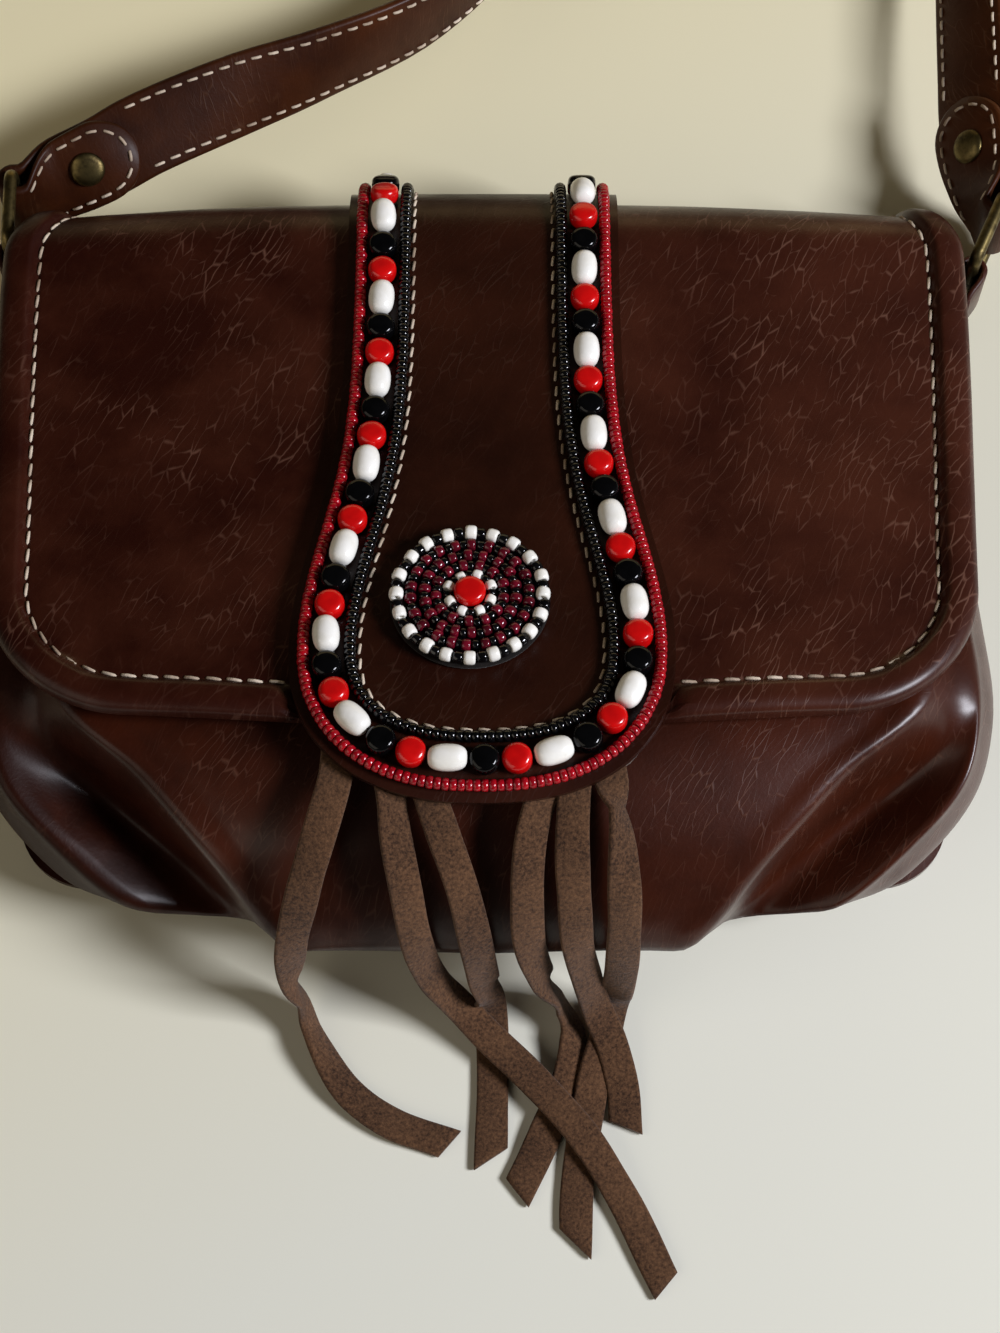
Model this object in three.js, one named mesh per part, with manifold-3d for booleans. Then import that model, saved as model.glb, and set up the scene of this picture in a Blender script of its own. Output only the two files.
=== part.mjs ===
// A beaded leather crossbody bag that lies on its back: a gathered pouch, a flap with a beaded tab,
// a suede fringe and a shoulder strap on brass rings.
// Millimetres, +Z up, +Y towards the top of the bag, +X to the right of someone facing its front.
// The origin is on the middle line of the back panel's flat underside, 70 mm above the panel's lower edge.
import * as THREE from "three";
import { mergeVertices } from "three/addons/utils/BufferGeometryUtils.js";
import Module from "manifold-3d";

const wasm = await Module();
wasm.setup();

const degrees = THREE.MathUtils.degToRad;
const lerp = THREE.MathUtils.lerp;
const smoothstep = THREE.MathUtils.smoothstep;
const point = (x, y, z) => new THREE.Vector3(x, y, z);

// Driving dimensions

const GAP = 0.3; // between pieces that touch

const BACK_PANEL = { halfWidth: 116, top: 88.4, bottom: -70, topCorner: 14, bottomCorner: 18, thickness: 2 };

// The leather turns over the top of the bag on a round fold and then runs down the front.
const FOLD = { y: 88.7, z: 20, radius: 20, frontAngle: degrees(84.3), rearAngle: degrees(-90) };
const FRONT = { length: 137, swell: 0.00046, droop: 0.0091 };
const CROWN = { drop: 4.2, reach: 120, power: 2.5, from: -60, to: -20 };
const FOLD_ROWS = 10;

const FLAP = {
  thickness: 2,
  rearHalfWidth: 115,
  topHalfWidth: 123,
  frontHalfWidth: 118.5,
  shoulderFrom: -30,
  shoulderTo: 3,
  corner: 34,
  riseFrom: 42,
  riseReach: 90,
  riseSlope: 0.075,
  hemWidth: 9.5,
  hemRise: 2,
  hemGap: 60,
  hemFrom: -36,
  hemFull: -14,
};

// The tab is measured along the leather from the front end of the fold: it starts behind the fold.
const TAB = {
  thickness: 2.4,
  foldRows: 5,
  waist: 34.3,
  flare: 11.2,
  flareReach: 42,
  widest: 118.7,
  tip: 158.2,
  roundness: 2.4,
};

// Rows of beads on the tab: how far each lies in from the tab's edge.
const ROW_INSET = { redSeed: 3.5, large: 8.9, blackSeed: 14.5 };
const SEED = { diameter: 3, sides: 8, steps: 48, seat: 0.25 };
const LARGE_BEADS = [
  { name: "white barrel", length: 9.56, halfWidth: 3.25, halfHeight: 3.1 },
  { name: "black coin", length: 7.5, halfWidth: 3.6, halfHeight: 2.5 },
  { name: "red coin", length: 7.5, halfWidth: 3.6, halfHeight: 2.5 },
];
const BEAD_NECK = 1.1;
const BEAD_SHOULDER = 0.27; // share of a bead from its end to its full width
const BEAD_SIDES = 8;
const BEAD_END_MARGIN = 2;

const ROSETTE = { x: -2.9, along: 107.2, backingRadius: 19, backing: 1.2, hollow: 0.2, segments: 20 };
// Rings of beads of the rosette, from the edge inwards: radius and height of each ring's crest.
const ROSETTE_RINGS = [
  { radius: 18, crest: 2.9 },
  { radius: 14.9, crest: 3.3 },
  { radius: 11.8, crest: 3.6 },
  { radius: 8.8, crest: 3.8 },
  { radius: 6, crest: 3.9 },
];
const ROSETTE_RIPPLE = 0.9;
const ROSETTE_PIT = { radius: 4.7, floor: 1 }; // where the bead in the middle sits
const CENTER_BEAD = { radius: 3.8, height: 3.6, sides: 12 };

// The pouch front as sections from the mouth to the bottom seam. Each section crosses the right half in
// six places: the middle of the panel, the ridge of the big fold, the tuck beside it, the ridge of the
// side lobe, the widest part of the side and the rim on the back panel. One more place is worked out where
// the panel starts to roll over into the fold.
const POUCH = { thickness: 1.8, leftFolds: 0.95, rimHeight: 2.3, rowSteps: 2, roll: 15, rollSwell: 0.5 };
const POUCH_LINES = ["middle", "roll", "fold", "tuck", "lobe", "side", "rim"];
const POUCH_LINE_STEPS = { middle: 3, roll: 2, fold: 2, tuck: 2, lobe: 2, side: 2 };
const POUCH_SECTIONS = [
  {
    name: "mouth",
    middle: [0, 73, 36.4],
    fold: [58, 73, 35.6],
    tuck: [64, 73, 34.4],
    lobe: [102, 73, 30],
    side: [112, 73, 19],
    rim: [110, 73, 2.3],
  },
  {
    name: "waist",
    middle: [0, 35, 43.5],
    fold: [82, 35, 40.8],
    tuck: [89, 35, 38.6],
    lobe: [107, 35, 35],
    side: [117.5, 35, 21],
    rim: [113, 35, 2.3],
  },
  {
    name: "shoulder",
    middle: [0, -8, 51.6],
    fold: [101, -8, 47.2],
    tuck: [108, -8, 44],
    lobe: [116.5, -8, 41],
    side: [124, -8, 24],
    rim: [114, -8, 2.3],
  },
  {
    name: "crest",
    middle: [0, -36, 56.2],
    fold: [106, -36, 51],
    tuck: [113, -37.5, 45],
    lobe: [119, -36.5, 42.5],
    side: [125, -36, 25],
    rim: [114, -36, 2.3],
  },
  {
    name: "belly",
    middle: [0, -58, 56.4],
    fold: [84, -57, 51.5],
    tuck: [94, -56, 27],
    lobe: [115.5, -53.5, 40],
    side: [121, -51, 23],
    rim: [113, -48, 2.3],
  },
  {
    name: "brow",
    middle: [0, -77.5, 48],
    fold: [67, -75, 45.5],
    tuck: [76, -69, 20],
    lobe: [102.5, -68.5, 32.5],
    side: [111, -64, 16.5],
    rim: [110, -56, 2.3],
  },
  {
    name: "foot",
    middle: [0, -93, 26],
    fold: [48, -92.5, 26.5],
    tuck: [59, -80.5, 9.5],
    lobe: [83, -80.5, 18],
    side: [98.5, -72.5, 10.5],
    rim: [106, -61, 2.3],
  },
  {
    name: "seam",
    middle: [0, -67.5, 2.3],
    fold: [46, -67.5, 2.3],
    tuck: [54, -67.5, 2.3],
    lobe: [80, -67, 2.3],
    side: [95, -65.5, 2.3],
    rim: [102, -63.5, 2.3],
  },
];

// The fringe: each strip runs from the head, over the bottom of the pouch and down to the floor.
const STRIP = { width: 8, thickness: 1.6, stations: 14 };
const FRINGE_HEAD = { halfWidth: 37, from: 138.2, to: 151, columns: 6, rows: 3, seat: 0.15 };
const STRIP_START = { along: 142.5, lift: -1 };
// How every strip falls from the tab: y and z of its middle line.
const STRIP_FALL = [
  { y: -61, z: 62.2 },
  { y: -72.5, z: 59.8 },
  { y: -83.5, z: 52 },
  { y: -93, z: 39 },
  { y: -98.5, z: 22 },
];
// Each strip: x at its start, x at each row of the fall, then the way that it lies, with z of its middle.
const STRIPS = [
  {
    start: -33,
    fall: [-34, -37, -41, -44.5, -45.5],
    lying: [
      [-43.5, -102, 6.5],
      [-40.5, -109, 1],
      [-33, -121, 0.8],
      [-22, -129, 0.8],
      [-8, -134, 0.8],
    ],
  },
  {
    start: -21.5,
    fall: [-21.2, -20, -18, -15.5, -11.5],
    lying: [
      [-5, -102.5, 10],
      [2, -109, 5],
      [13, -119.5, 4],
      [24, -132, 4],
      [34, -148, 1.6],
      [43.7, -168, 0.8],
    ],
  },
  {
    start: -14.5,
    fall: [-13.2, -9.2, -5, -1.6, 0.4],
    lying: [
      [2, -101, 5.5],
      [2.4, -107, 1],
      [2.4, -122, 0.8],
      [2, -137.6, 0.8],
    ],
  },
  {
    start: 16,
    fall: [14.8, 11.8, 10.4, 11, 14.5],
    lying: [
      [19, -101, 6],
      [22, -107, 1],
      [21, -117, 0.8],
      [15.4, -131, 0.8],
      [8.4, -145.8, 0.8],
    ],
  },
  {
    start: 21.5,
    fall: [21.4, 21, 21.2, 22.2, 25],
    lying: [
      [28, -103, 9],
      [31.5, -110, 3.6],
      [34, -120, 1.2],
      [34.5, -130, 0.8],
    ],
  },
  {
    start: 28.5,
    fall: [29.8, 32, 33, 33.2, 32.8],
    lying: [
      [31.8, -101, 5],
      [30, -107.5, 0.9],
      [26.4, -121, 0.8],
      [23, -142, 0.8],
      [22.3, -158, 0.8],
    ],
  },
];

// Rings: each has one upright bar in the fold of the strap and one in the bag's own leather loop.
const RING = { wire: 3.4, insideWidth: 25, insideLength: 17, corner: 2.6, height: 16.5 };
const RING_STEPS = { round: 8, corner: 3 };
const RING_TAB = { width: 17, thickness: 3.6, loop: 2.2, bore: 0.4, barX: { left: -123.2, right: 127 } };
const RING_TAB_TAIL = { x: 116.5, y: 56 };

// The strap: 22 mm wide leather, folded through both rings, each end held back on itself by a rivet.
const STRAP = { width: 22, thickness: 2.6, endLength: 34, endRound: 11, settle: 14 };
const STRAP_STEPS = { fold: 5, long: 40 };
// Where the strap is cut into short lengths near a ring, because it twists there: distances from the bar.
const STRAP_NEAR_RING = [0, 3, 6, 9, 12, 15, 18, 22, 27, 34, 42];
const STRAP_TURN = { x: 79, y: 545, radius: 55, steps: 6 };
const ON_EDGE = STRAP.width / 2 + 0.2; // height of the middle of the strap where it stands on edge
// The strap's way from the left ring to the right one. Roll is 0 where it stands on edge, 90 face up.
const STRAP_FROM_LEFT = [
  { x: -124.3, y: 118.4, z: 16.5, roll: 0 },
  { x: -120.6, y: 119.4, z: 16.5, roll: 0 },
  { x: -113.4, y: 121.4, z: 17.3, roll: 30 },
  { x: -107.2, y: 123.2, z: 18.6, roll: 44 },
  { x: -100, y: 126.2, z: 20, roll: 51 },
  { x: -90.8, y: 131.3, z: 21.5, roll: 57 },
  { x: -66, y: 143, z: 22.5, roll: 44 },
  { x: -43.6, y: 153.4, z: 21.5, roll: 22 },
  { x: -14, y: 172, z: 17.5, roll: 8 },
  { x: 11, y: 203, z: 13.5, roll: 0 },
  { x: 22, y: 248, z: 11.7, roll: 0 },
  { x: 24, y: 310, z: ON_EDGE, roll: 0 },
  { x: 24, y: 430, z: ON_EDGE, roll: 0 },
];
const STRAP_TO_RIGHT = [
  { x: 134, y: 430, z: ON_EDGE, roll: 0 },
  { x: 134, y: 320, z: ON_EDGE, roll: 0 },
  { x: 133.4, y: 255, z: 13, roll: 12 },
  { x: 132, y: 195, z: 17.5, roll: 38 },
  { x: 131, y: 150, z: 19.5, roll: 46 },
  { x: 130.9, y: 138, z: 19, roll: 46 },
  { x: 131.6, y: 128, z: 18.4, roll: 43 },
  { x: 133.6, y: 120, z: 17.4, roll: 29 },
  { x: 136.6, y: 113.8, z: 16.5, roll: 0 },
  { x: 138.4, y: 110.2, z: 16.5, roll: 0 },
];
const RIVET = { distance: 20, post: 1.5, bore: 1.9 };
const RIVET_CAP = { radius: 4.8, height: 1.7 };
const RIVET_BACK = { radius: 4, height: 1 };
const RIVET_SIDES = { cap: 14, bore: 8 };
const RIVET_SEAT = 0.5; // spare height under a cap, because the strap twists there

const COLOURS = {
  leather: { color: 0x2e150c, roughness: 0.42, metalness: 0 },
  strap: { color: 0x3a1d10, roughness: 0.5, metalness: 0 },
  suede: { color: 0x4b3526, roughness: 0.95, metalness: 0 },
  redBead: { color: 0x9c0f1c, roughness: 0.2, metalness: 0 },
  blackBead: { color: 0x0b0b0d, roughness: 0.18, metalness: 0 },
  whiteBead: { color: 0xece8dc, roughness: 0.25, metalness: 0 },
  garnetBead: { color: 0x4a0a14, roughness: 0.2, metalness: 0 },
  brass: { color: 0x5d5334, roughness: 0.42, metalness: 1 },
};

// Closed meshes

// A closed surface from points and triangles, turned so that its faces point out.
function closedGeometry(points, faces) {
  const normal = new THREE.Vector3();
  let volume = 0;
  for (const [a, b, c] of faces) volume += points[a].dot(normal.crossVectors(points[b], points[c]));
  const turned = faces.map(([a, b, c]) => (volume > 0 ? [a, b, c] : [a, c, b]));
  return new THREE.BufferGeometry().setFromPoints(points).setIndex(turned.flat());
}

const quad = (a, b, c, d) => [
  [a, b, c],
  [a, c, d],
];

// A sheet of leather: two grids of points, its outer and inner face, joined round their edges.
function thickSheet(outer, inner) {
  const rows = outer.length;
  const columns = outer[0].length;
  const points = [...outer.flat(), ...inner.flat()];
  const at = (side, row, column) => (side * rows + row) * columns + column;
  const faces = [];
  for (let row = 0; row < rows - 1; row++) {
    for (let column = 0; column < columns - 1; column++) {
      for (const side of [0, 1]) {
        const near = side ? column + 1 : column;
        const far = side ? column : column + 1;
        const [a, b] = [at(side, row, near), at(side, row, far)];
        faces.push(...quad(a, b, at(side, row + 1, far), at(side, row + 1, near)));
      }
    }
    faces.push(...quad(at(0, row, 0), at(0, row + 1, 0), at(1, row + 1, 0), at(1, row, 0)));
    const last = columns - 1;
    faces.push(...quad(at(0, row + 1, last), at(0, row, last), at(1, row, last), at(1, row + 1, last)));
  }
  for (let column = 0; column < columns - 1; column++) {
    faces.push(...quad(at(0, 0, column + 1), at(0, 0, column), at(1, 0, column), at(1, 0, column + 1)));
    const last = rows - 1;
    const next = column + 1;
    faces.push(...quad(at(0, last, column), at(0, last, next), at(1, last, next), at(1, last, column)));
  }
  return closedGeometry(points, faces);
}

// A solid through a row of rings with as many points each, open with end faces or closed on itself.
function loft(rings, closed = false) {
  const sides = rings[0].length;
  const at = (ring, side) => (ring % rings.length) * sides + (side % sides);
  const faces = [];
  const spans = closed ? rings.length : rings.length - 1;
  for (let ring = 0; ring < spans; ring++) {
    for (let side = 0; side < sides; side++) {
      faces.push(...quad(at(ring, side), at(ring, side + 1), at(ring + 1, side + 1), at(ring + 1, side)));
    }
  }
  if (!closed) {
    const last = rings.length - 1;
    for (let side = 1; side < sides - 1; side++) {
      faces.push([at(0, 0), at(0, side + 1), at(0, side)]);
      faces.push([at(last, 0), at(last, side), at(last, side + 1)]);
    }
  }
  return closedGeometry(rings.flat(), faces);
}

function toSolid(geometry) {
  const bare = geometry.clone();
  bare.deleteAttribute("normal");
  bare.deleteAttribute("uv");
  const merged = mergeVertices(bare, 1e-4);
  const vertProperties = new Float32Array(merged.attributes.position.array);
  const triVerts = new Uint32Array(merged.index.array);
  return new wasm.Manifold(new wasm.Mesh({ numProp: 3, vertProperties, triVerts }));
}

function toGeometry(solid) {
  const mesh = solid.getMesh();
  const geometry = new THREE.BufferGeometry();
  geometry.setAttribute("position", new THREE.BufferAttribute(mesh.vertProperties, 3));
  return geometry.setIndex(new THREE.BufferAttribute(mesh.triVerts, 1));
}

// The leather's own surface, which the flap, the tab and the beads share

const FRONT_START = {
  y: FOLD.y + FOLD.radius * Math.cos(FOLD.frontAngle),
  z: FOLD.z + FOLD.radius * Math.sin(FOLD.frontAngle),
  slope: 1 / Math.tan(FOLD.frontAngle),
};
const FOLD_LENGTH = FOLD.radius * (FOLD.frontAngle - FOLD.rearAngle);

// The side view of the flap's face: a place and a normal at a distance along the leather. It is negative on
// the fold, and past the flap's edge the line bends down for the end of the tab.
function profile(along) {
  if (along < 0) {
    const angle = FOLD.frontAngle + along / FOLD.radius;
    const ny = Math.cos(angle);
    const nz = Math.sin(angle);
    return { y: FOLD.y + FOLD.radius * ny, z: FOLD.z + FOLD.radius * nz, ny, nz };
  }
  const past = Math.max(0, along - FRONT.length);
  const on = along - past;
  const slope = FRONT_START.slope + 2 * FRONT.swell * on;
  const rise = (FRONT_START.slope + FRONT.swell * on) * on + (slope - FRONT.droop * past) * past;
  const steepness = slope - 2 * FRONT.droop * past;
  const size = Math.hypot(1, steepness);
  return { y: FRONT_START.y - along, z: FRONT_START.z + rise, ny: steepness / size, nz: 1 / size };
}

// A point over the leather: the sides of the flap fall away from its middle.
function onLeather(x, along, lift) {
  const base = profile(along);
  const crown = CROWN.drop * smoothstep(along, CROWN.from, CROWN.to);
  const fall = crown * (Math.abs(x) / CROWN.reach) ** CROWN.power;
  return point(x, base.y + base.ny * (lift - fall), base.z + base.nz * (lift - fall));
}

// Back panel and pouch

function backPanel() {
  const { halfWidth, top, bottom, topCorner, bottomCorner, thickness } = BACK_PANEL;
  const outline = new THREE.Shape();
  outline.absarc(halfWidth - topCorner, top - topCorner, topCorner, 0, Math.PI / 2);
  outline.absarc(topCorner - halfWidth, top - topCorner, topCorner, Math.PI / 2, Math.PI);
  outline.absarc(bottomCorner - halfWidth, bottom + bottomCorner, bottomCorner, Math.PI, Math.PI * 1.5);
  outline.absarc(halfWidth - bottomCorner, bottom + bottomCorner, bottomCorner, Math.PI * 1.5, Math.PI * 2);
  return new THREE.ExtrudeGeometry(outline, { depth: thickness, bevelEnabled: false, curveSegments: 7 });
}

// Points along a smooth line through control points, with so many steps on each stretch between two of them.
function smoothLine(controls, steps) {
  const curve = new THREE.CatmullRomCurve3(controls, false, "chordal");
  const stretches = controls.length - 1;
  const line = [];
  for (let stretch = 0; stretch < stretches; stretch++) {
    for (let step = 0; step < steps[stretch]; step++) {
      line.push(curve.getPoint((stretch + step / steps[stretch]) / stretches));
    }
  }
  line.push(controls[stretches].clone());
  return line;
}

function pouchFront() {
  const outwards = POUCH_LINES.slice(1);
  const controlRows = POUCH_SECTIONS.map((section) => {
    const right = pouchHalf(section, 1);
    const left = pouchHalf(section, POUCH.leftFolds);
    const mirrored = outwards.toReversed().map((line) => left[line].multiply(point(-1, 1, 1)));
    return [...mirrored, ...POUCH_LINES.map((line) => right[line])];
  });
  const stepsOut = POUCH_LINES.slice(0, -1).map((line) => POUCH_LINE_STEPS[line]);
  const columnSteps = [...stepsOut.toReversed(), ...stepsOut];
  const rowSteps = POUCH_SECTIONS.slice(1).map(() => POUCH.rowSteps);
  const downwards = controlRows[0].map((_, column) => controlRows.map((row) => row[column]));
  const lines = downwards.map((controls) => smoothLine(controls, rowSteps));
  const outer = lines[0].map((_, row) => smoothLine(lines.map((line) => line[row]), columnSteps));
  const inner = outer.map((line, row) => line.map((_, column) => insidePouch(outer, row, column)));
  return thickSheet(outer, inner);
}

// One half of a section of the pouch, with its folds drawn in to a share of their way out.
function pouchHalf(section, folds) {
  const half = Object.fromEntries(
    POUCH_LINES.filter((line) => section[line]).map((line) => [line, point(...section[line])]),
  );
  half.fold.x *= folds;
  half.tuck.x *= folds;
  half.roll = half.fold.clone().lerp(half.middle, POUCH.roll / half.fold.distanceTo(half.middle));
  half.roll.z += section.name === "seam" ? 0 : POUCH.rollSwell;
  return half;
}

// The point of the pouch's inner face behind a point of its outer face.
function insidePouch(outer, row, column) {
  const rows = outer.length - 1;
  const columns = outer[0].length - 1;
  const across = outer[row][Math.min(column + 1, columns)].clone().sub(outer[row][Math.max(column - 1, 0)]);
  const down = outer[Math.min(row + 1, rows)][column].clone().sub(outer[Math.max(row - 1, 0)][column]);
  const inward = across.cross(down).normalize();
  const onRim = row === rows || column === 0 || column === columns;
  if (onRim) inward.setZ(0).normalize();
  const inside = outer[row][column].clone().addScaledVector(inward, POUCH.thickness);
  inside.z = onRim ? POUCH.rimHeight : Math.max(inside.z, POUCH.rimHeight);
  return inside;
}

// Flap and tab

function flapHalfWidth(along) {
  const shoulder = smoothstep(along, FLAP.shoulderFrom, FLAP.shoulderTo);
  const taper = smoothstep(along, FLAP.shoulderTo, FRONT.length);
  return lerp(FLAP.rearHalfWidth, lerp(FLAP.topHalfWidth, FLAP.frontHalfWidth, taper), shoulder);
}

// How far a corner of the flap is cut back by its rounding.
function cornerCut(along) {
  const into = Math.max(0, along - (FRONT.length - FLAP.corner));
  return FLAP.corner - Math.sqrt(FLAP.corner ** 2 - into ** 2);
}

// How far a place on the flap is drawn back, because the lower edge rises towards the sides.
function edgeRise(x, along) {
  const outside = Math.max(0, Math.abs(x) - FLAP.riseFrom);
  return FLAP.riseSlope * outside * smoothstep(along, FRONT.length - FLAP.riseReach, FRONT.length);
}

// The padded hem: its rise over the flap's face at a distance from the flap's edge.
function hemRise(x, along) {
  const sideways = Math.abs(x) - (flapHalfWidth(along) - FLAP.corner);
  const forward = along - (FRONT.length - FLAP.corner);
  const inCorner = sideways > 0 && forward > 0;
  const reach = inCorner ? Math.hypot(sideways, forward) : Math.max(sideways, forward);
  const fromEdge = (FLAP.corner - reach) / FLAP.hemWidth;
  if (fromEdge < 0 || fromEdge > 1) return 0;
  const clearOfTab = smoothstep(Math.abs(x), FLAP.hemGap, FLAP.hemGap + FLAP.hemWidth);
  const clearOfBack = smoothstep(along, FLAP.hemFrom, FLAP.hemFull);
  return FLAP.hemRise * Math.sin(Math.PI * fromEdge) * clearOfTab * clearOfBack;
}

// Rows on the fold, counted back from its front end, which the flap and the tab share.
const foldRow = (back) => (-FOLD_LENGTH * back) / FOLD_ROWS;

function flap() {
  const hemSteps = [0, 0.3, 0.7, 1].map((share) => share * FLAP.hemWidth);
  const frontRows = 7;
  const alongs = [];
  for (let back = FOLD_ROWS; back > 0; back--) alongs.push(foldRow(back));
  for (let row = 0; row < frontRows; row++) alongs.push(((FRONT.length - FLAP.corner) * row) / frontRows);
  alongs.push(...[1, 0.68, 0.44].map((share) => FRONT.length - FLAP.corner * share));
  alongs.push(...hemSteps.toReversed().map((step) => FRONT.length - step));
  const middleColumns = 8;
  const face = (lift, hem) =>
    alongs.map((along) => {
      const edge = flapHalfWidth(along) - cornerCut(along);
      const inside = edge - FLAP.hemWidth;
      const xs = hemSteps.map((step) => step - edge);
      for (let column = 1; column < middleColumns; column++) {
        xs.push(inside * ((2 * column) / middleColumns - 1));
      }
      xs.push(...hemSteps.toReversed().map((step) => edge - step));
      return xs.map((x) => onLeather(x, along - edgeRise(x, along), lift + hem * hemRise(x, along)));
    });
  return thickSheet(face(0, 1), face(-FLAP.thickness, 0));
}

const TAB_TOP = GAP + TAB.thickness;

function tabHalfWidth(along) {
  const flare = TAB.waist + TAB.flare * Math.exp(-(((along - TAB.widest) / TAB.flareReach) ** 2));
  if (along <= TAB.widest) return flare;
  const share = Math.min(1, (along - TAB.widest) / (TAB.tip - TAB.widest));
  return (TAB.waist + TAB.flare) * (1 - share ** TAB.roundness) ** (1 / TAB.roundness);
}

const TAB_REAR = foldRow(TAB.foldRows);

function tab() {
  const straightRows = 10;
  const roundRows = 8;
  const columns = 6;
  const blunt = 0.97;
  const alongs = [];
  for (let back = TAB.foldRows; back > 0; back--) alongs.push(foldRow(back));
  for (let row = 0; row <= straightRows; row++) alongs.push((TAB.widest * row) / straightRows);
  for (let row = 1; row <= roundRows; row++) {
    const share = Math.sin((Math.PI / 2) * blunt * (row / roundRows));
    alongs.push(lerp(TAB.widest, TAB.tip, share));
  }
  const face = (lift) =>
    alongs.map((along) => {
      const half = tabHalfWidth(along);
      const shares = Array.from({ length: columns + 1 }, (_, column) => (2 * column) / columns - 1);
      return shares.map((share) => onLeather(half * share, along, lift));
    });
  return thickSheet(face(TAB_TOP), face(GAP));
}

// Rows of beads

// The tab's edge on the flat leather, from its left rear end round the tip to its right rear end.
function tabOutline() {
  const sideSteps = 22;
  const roundSteps = 12;
  const left = [];
  for (let step = 0; step < sideSteps; step++) {
    const along = lerp(TAB_REAR, TAB.widest, step / sideSteps);
    left.push(new THREE.Vector2(-tabHalfWidth(along), along));
  }
  for (let step = 0; step < roundSteps; step++) {
    const angle = (Math.PI / 2) * (step / roundSteps);
    const x = -(TAB.waist + TAB.flare) * Math.cos(angle) ** (2 / TAB.roundness);
    const along = TAB.widest + (TAB.tip - TAB.widest) * Math.sin(angle) ** (2 / TAB.roundness);
    left.push(new THREE.Vector2(x, along));
  }
  const right = left.toReversed().map((place) => new THREE.Vector2(-place.x, place.y));
  return [...left, new THREE.Vector2(0, TAB.tip), ...right];
}

// A row's line on the tab, in from its edge and over its face.
function rowCurve(inset, lift) {
  const outline = tabOutline();
  const places = outline.map((place, index) => {
    const before = outline[Math.max(index - 1, 0)];
    const after = outline[Math.min(index + 1, outline.length - 1)];
    const way = after.clone().sub(before).normalize();
    return onLeather(place.x + way.y * inset, place.y - way.x * inset, lift);
  });
  return new THREE.CatmullRomCurve3(places, false, "centripetal");
}

function seedString(inset) {
  const section = new THREE.Shape();
  section.absarc(0, 0, SEED.diameter / 2, 0, Math.PI * 2);
  return new THREE.ExtrudeGeometry(section, {
    extrudePath: rowCurve(inset, TAB_TOP + GAP + SEED.seat + SEED.diameter / 2),
    steps: SEED.steps,
    curveSegments: SEED.sides / 2,
    bevelEnabled: false,
  });
}

// The large beads as one body: a ring of points at each neck and at both shoulders of each bead.
function beadString() {
  const height = TAB_TOP + GAP + Math.max(...LARGE_BEADS.map((bead) => bead.halfHeight));
  const line = rowCurve(ROW_INSET.large, height);
  const above = rowCurve(ROW_INSET.large, height + 1);
  const length = line.getLength();
  const ring = (distance, halfWidth, halfHeight) => {
    const where = line.getUtoTmapping(distance / length);
    const middle = line.getPoint(where);
    const up = above.getPoint(where).sub(middle).normalize();
    const across = line.getTangent(where).cross(up).normalize();
    return Array.from({ length: BEAD_SIDES }, (_, side) => {
      const angle = (Math.PI * 2 * side) / BEAD_SIDES;
      const place = middle.clone().addScaledVector(across, halfWidth * Math.cos(angle));
      return place.addScaledVector(up, halfHeight * Math.sin(angle));
    });
  };
  const rings = [];
  let distance = BEAD_END_MARGIN;
  for (let index = 0; ; index++) {
    const bead = LARGE_BEADS[index % LARGE_BEADS.length];
    if (distance + bead.length > length - BEAD_END_MARGIN) break;
    rings.push(ring(distance, BEAD_NECK, BEAD_NECK));
    for (const share of [BEAD_SHOULDER, 1 - BEAD_SHOULDER]) {
      rings.push(ring(distance + share * bead.length, bead.halfWidth, bead.halfHeight));
    }
    distance += bead.length;
  }
  rings.push(ring(distance, BEAD_NECK, BEAD_NECK));
  return loft(rings);
}

// Rosette

// A round piece that stands on its own flat base, from a half section of radii and heights.
function turned(section, segments = ROSETTE.segments) {
  const outline = section.map(([radius, height]) => new THREE.Vector2(radius, height));
  return new THREE.LatheGeometry(outline, segments).rotateX(Math.PI / 2);
}

const ROSETTE_FIELD_BASE = GAP + ROSETTE.hollow + ROSETTE.backing + GAP;
const ROSETTE_PIT_FLOOR = ROSETTE_FIELD_BASE + ROSETTE_PIT.floor;

function rosetteBacking() {
  const bottom = GAP + ROSETTE.hollow;
  const top = bottom + ROSETTE.backing;
  return turned([[0, bottom], [ROSETTE.backingRadius, bottom], [ROSETTE.backingRadius, top], [0, top]]);
}

function rosetteBeadField() {
  const outside = ROSETTE_RINGS[0].radius + SEED.diameter / 2;
  const section = [[0, ROSETTE_FIELD_BASE], [outside - 0.5, ROSETTE_FIELD_BASE]];
  section.push([outside, ROSETTE_FIELD_BASE + SEED.diameter / 2]);
  ROSETTE_RINGS.forEach(({ radius, crest }, index) => {
    const top = ROSETTE_FIELD_BASE + crest;
    section.push([radius, top]);
    const next = ROSETTE_RINGS[index + 1];
    if (next) section.push([(radius + next.radius) / 2, top - ROSETTE_RIPPLE]);
  });
  section.push([ROSETTE_PIT.radius, ROSETTE_PIT_FLOOR], [0, ROSETTE_PIT_FLOOR]);
  return turned(section);
}

function rosetteCenterBead() {
  const bottom = ROSETTE_PIT_FLOOR + GAP;
  const { radius, height, sides } = CENTER_BEAD;
  const round = (share) => [radius * Math.sin(Math.PI * share) ** 0.5, bottom + height * share];
  const rim = [0.18, 0.5, 0.82].map(round);
  const flat = radius * 0.5;
  const top = bottom + height;
  return turned([[0, bottom], [flat, bottom], ...rim, [flat, top], [0, top]], sides);
}

// Fringe

function fringeHead() {
  const { halfWidth, from, to, columns, rows, seat } = FRINGE_HEAD;
  const face = (lift) =>
    Array.from({ length: rows + 1 }, (_, row) => {
      const along = lerp(from, to, row / rows);
      return Array.from({ length: columns + 1 }, (_, column) => {
        const x = halfWidth * ((2 * column) / columns - 1);
        const inside = Math.min(halfWidth, tabHalfWidth(along) - GAP) / halfWidth;
        return onLeather(x * inside, along, lift);
      });
    });
  return thickSheet(face(-seat), face(-seat - STRIP.thickness));
}

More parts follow.
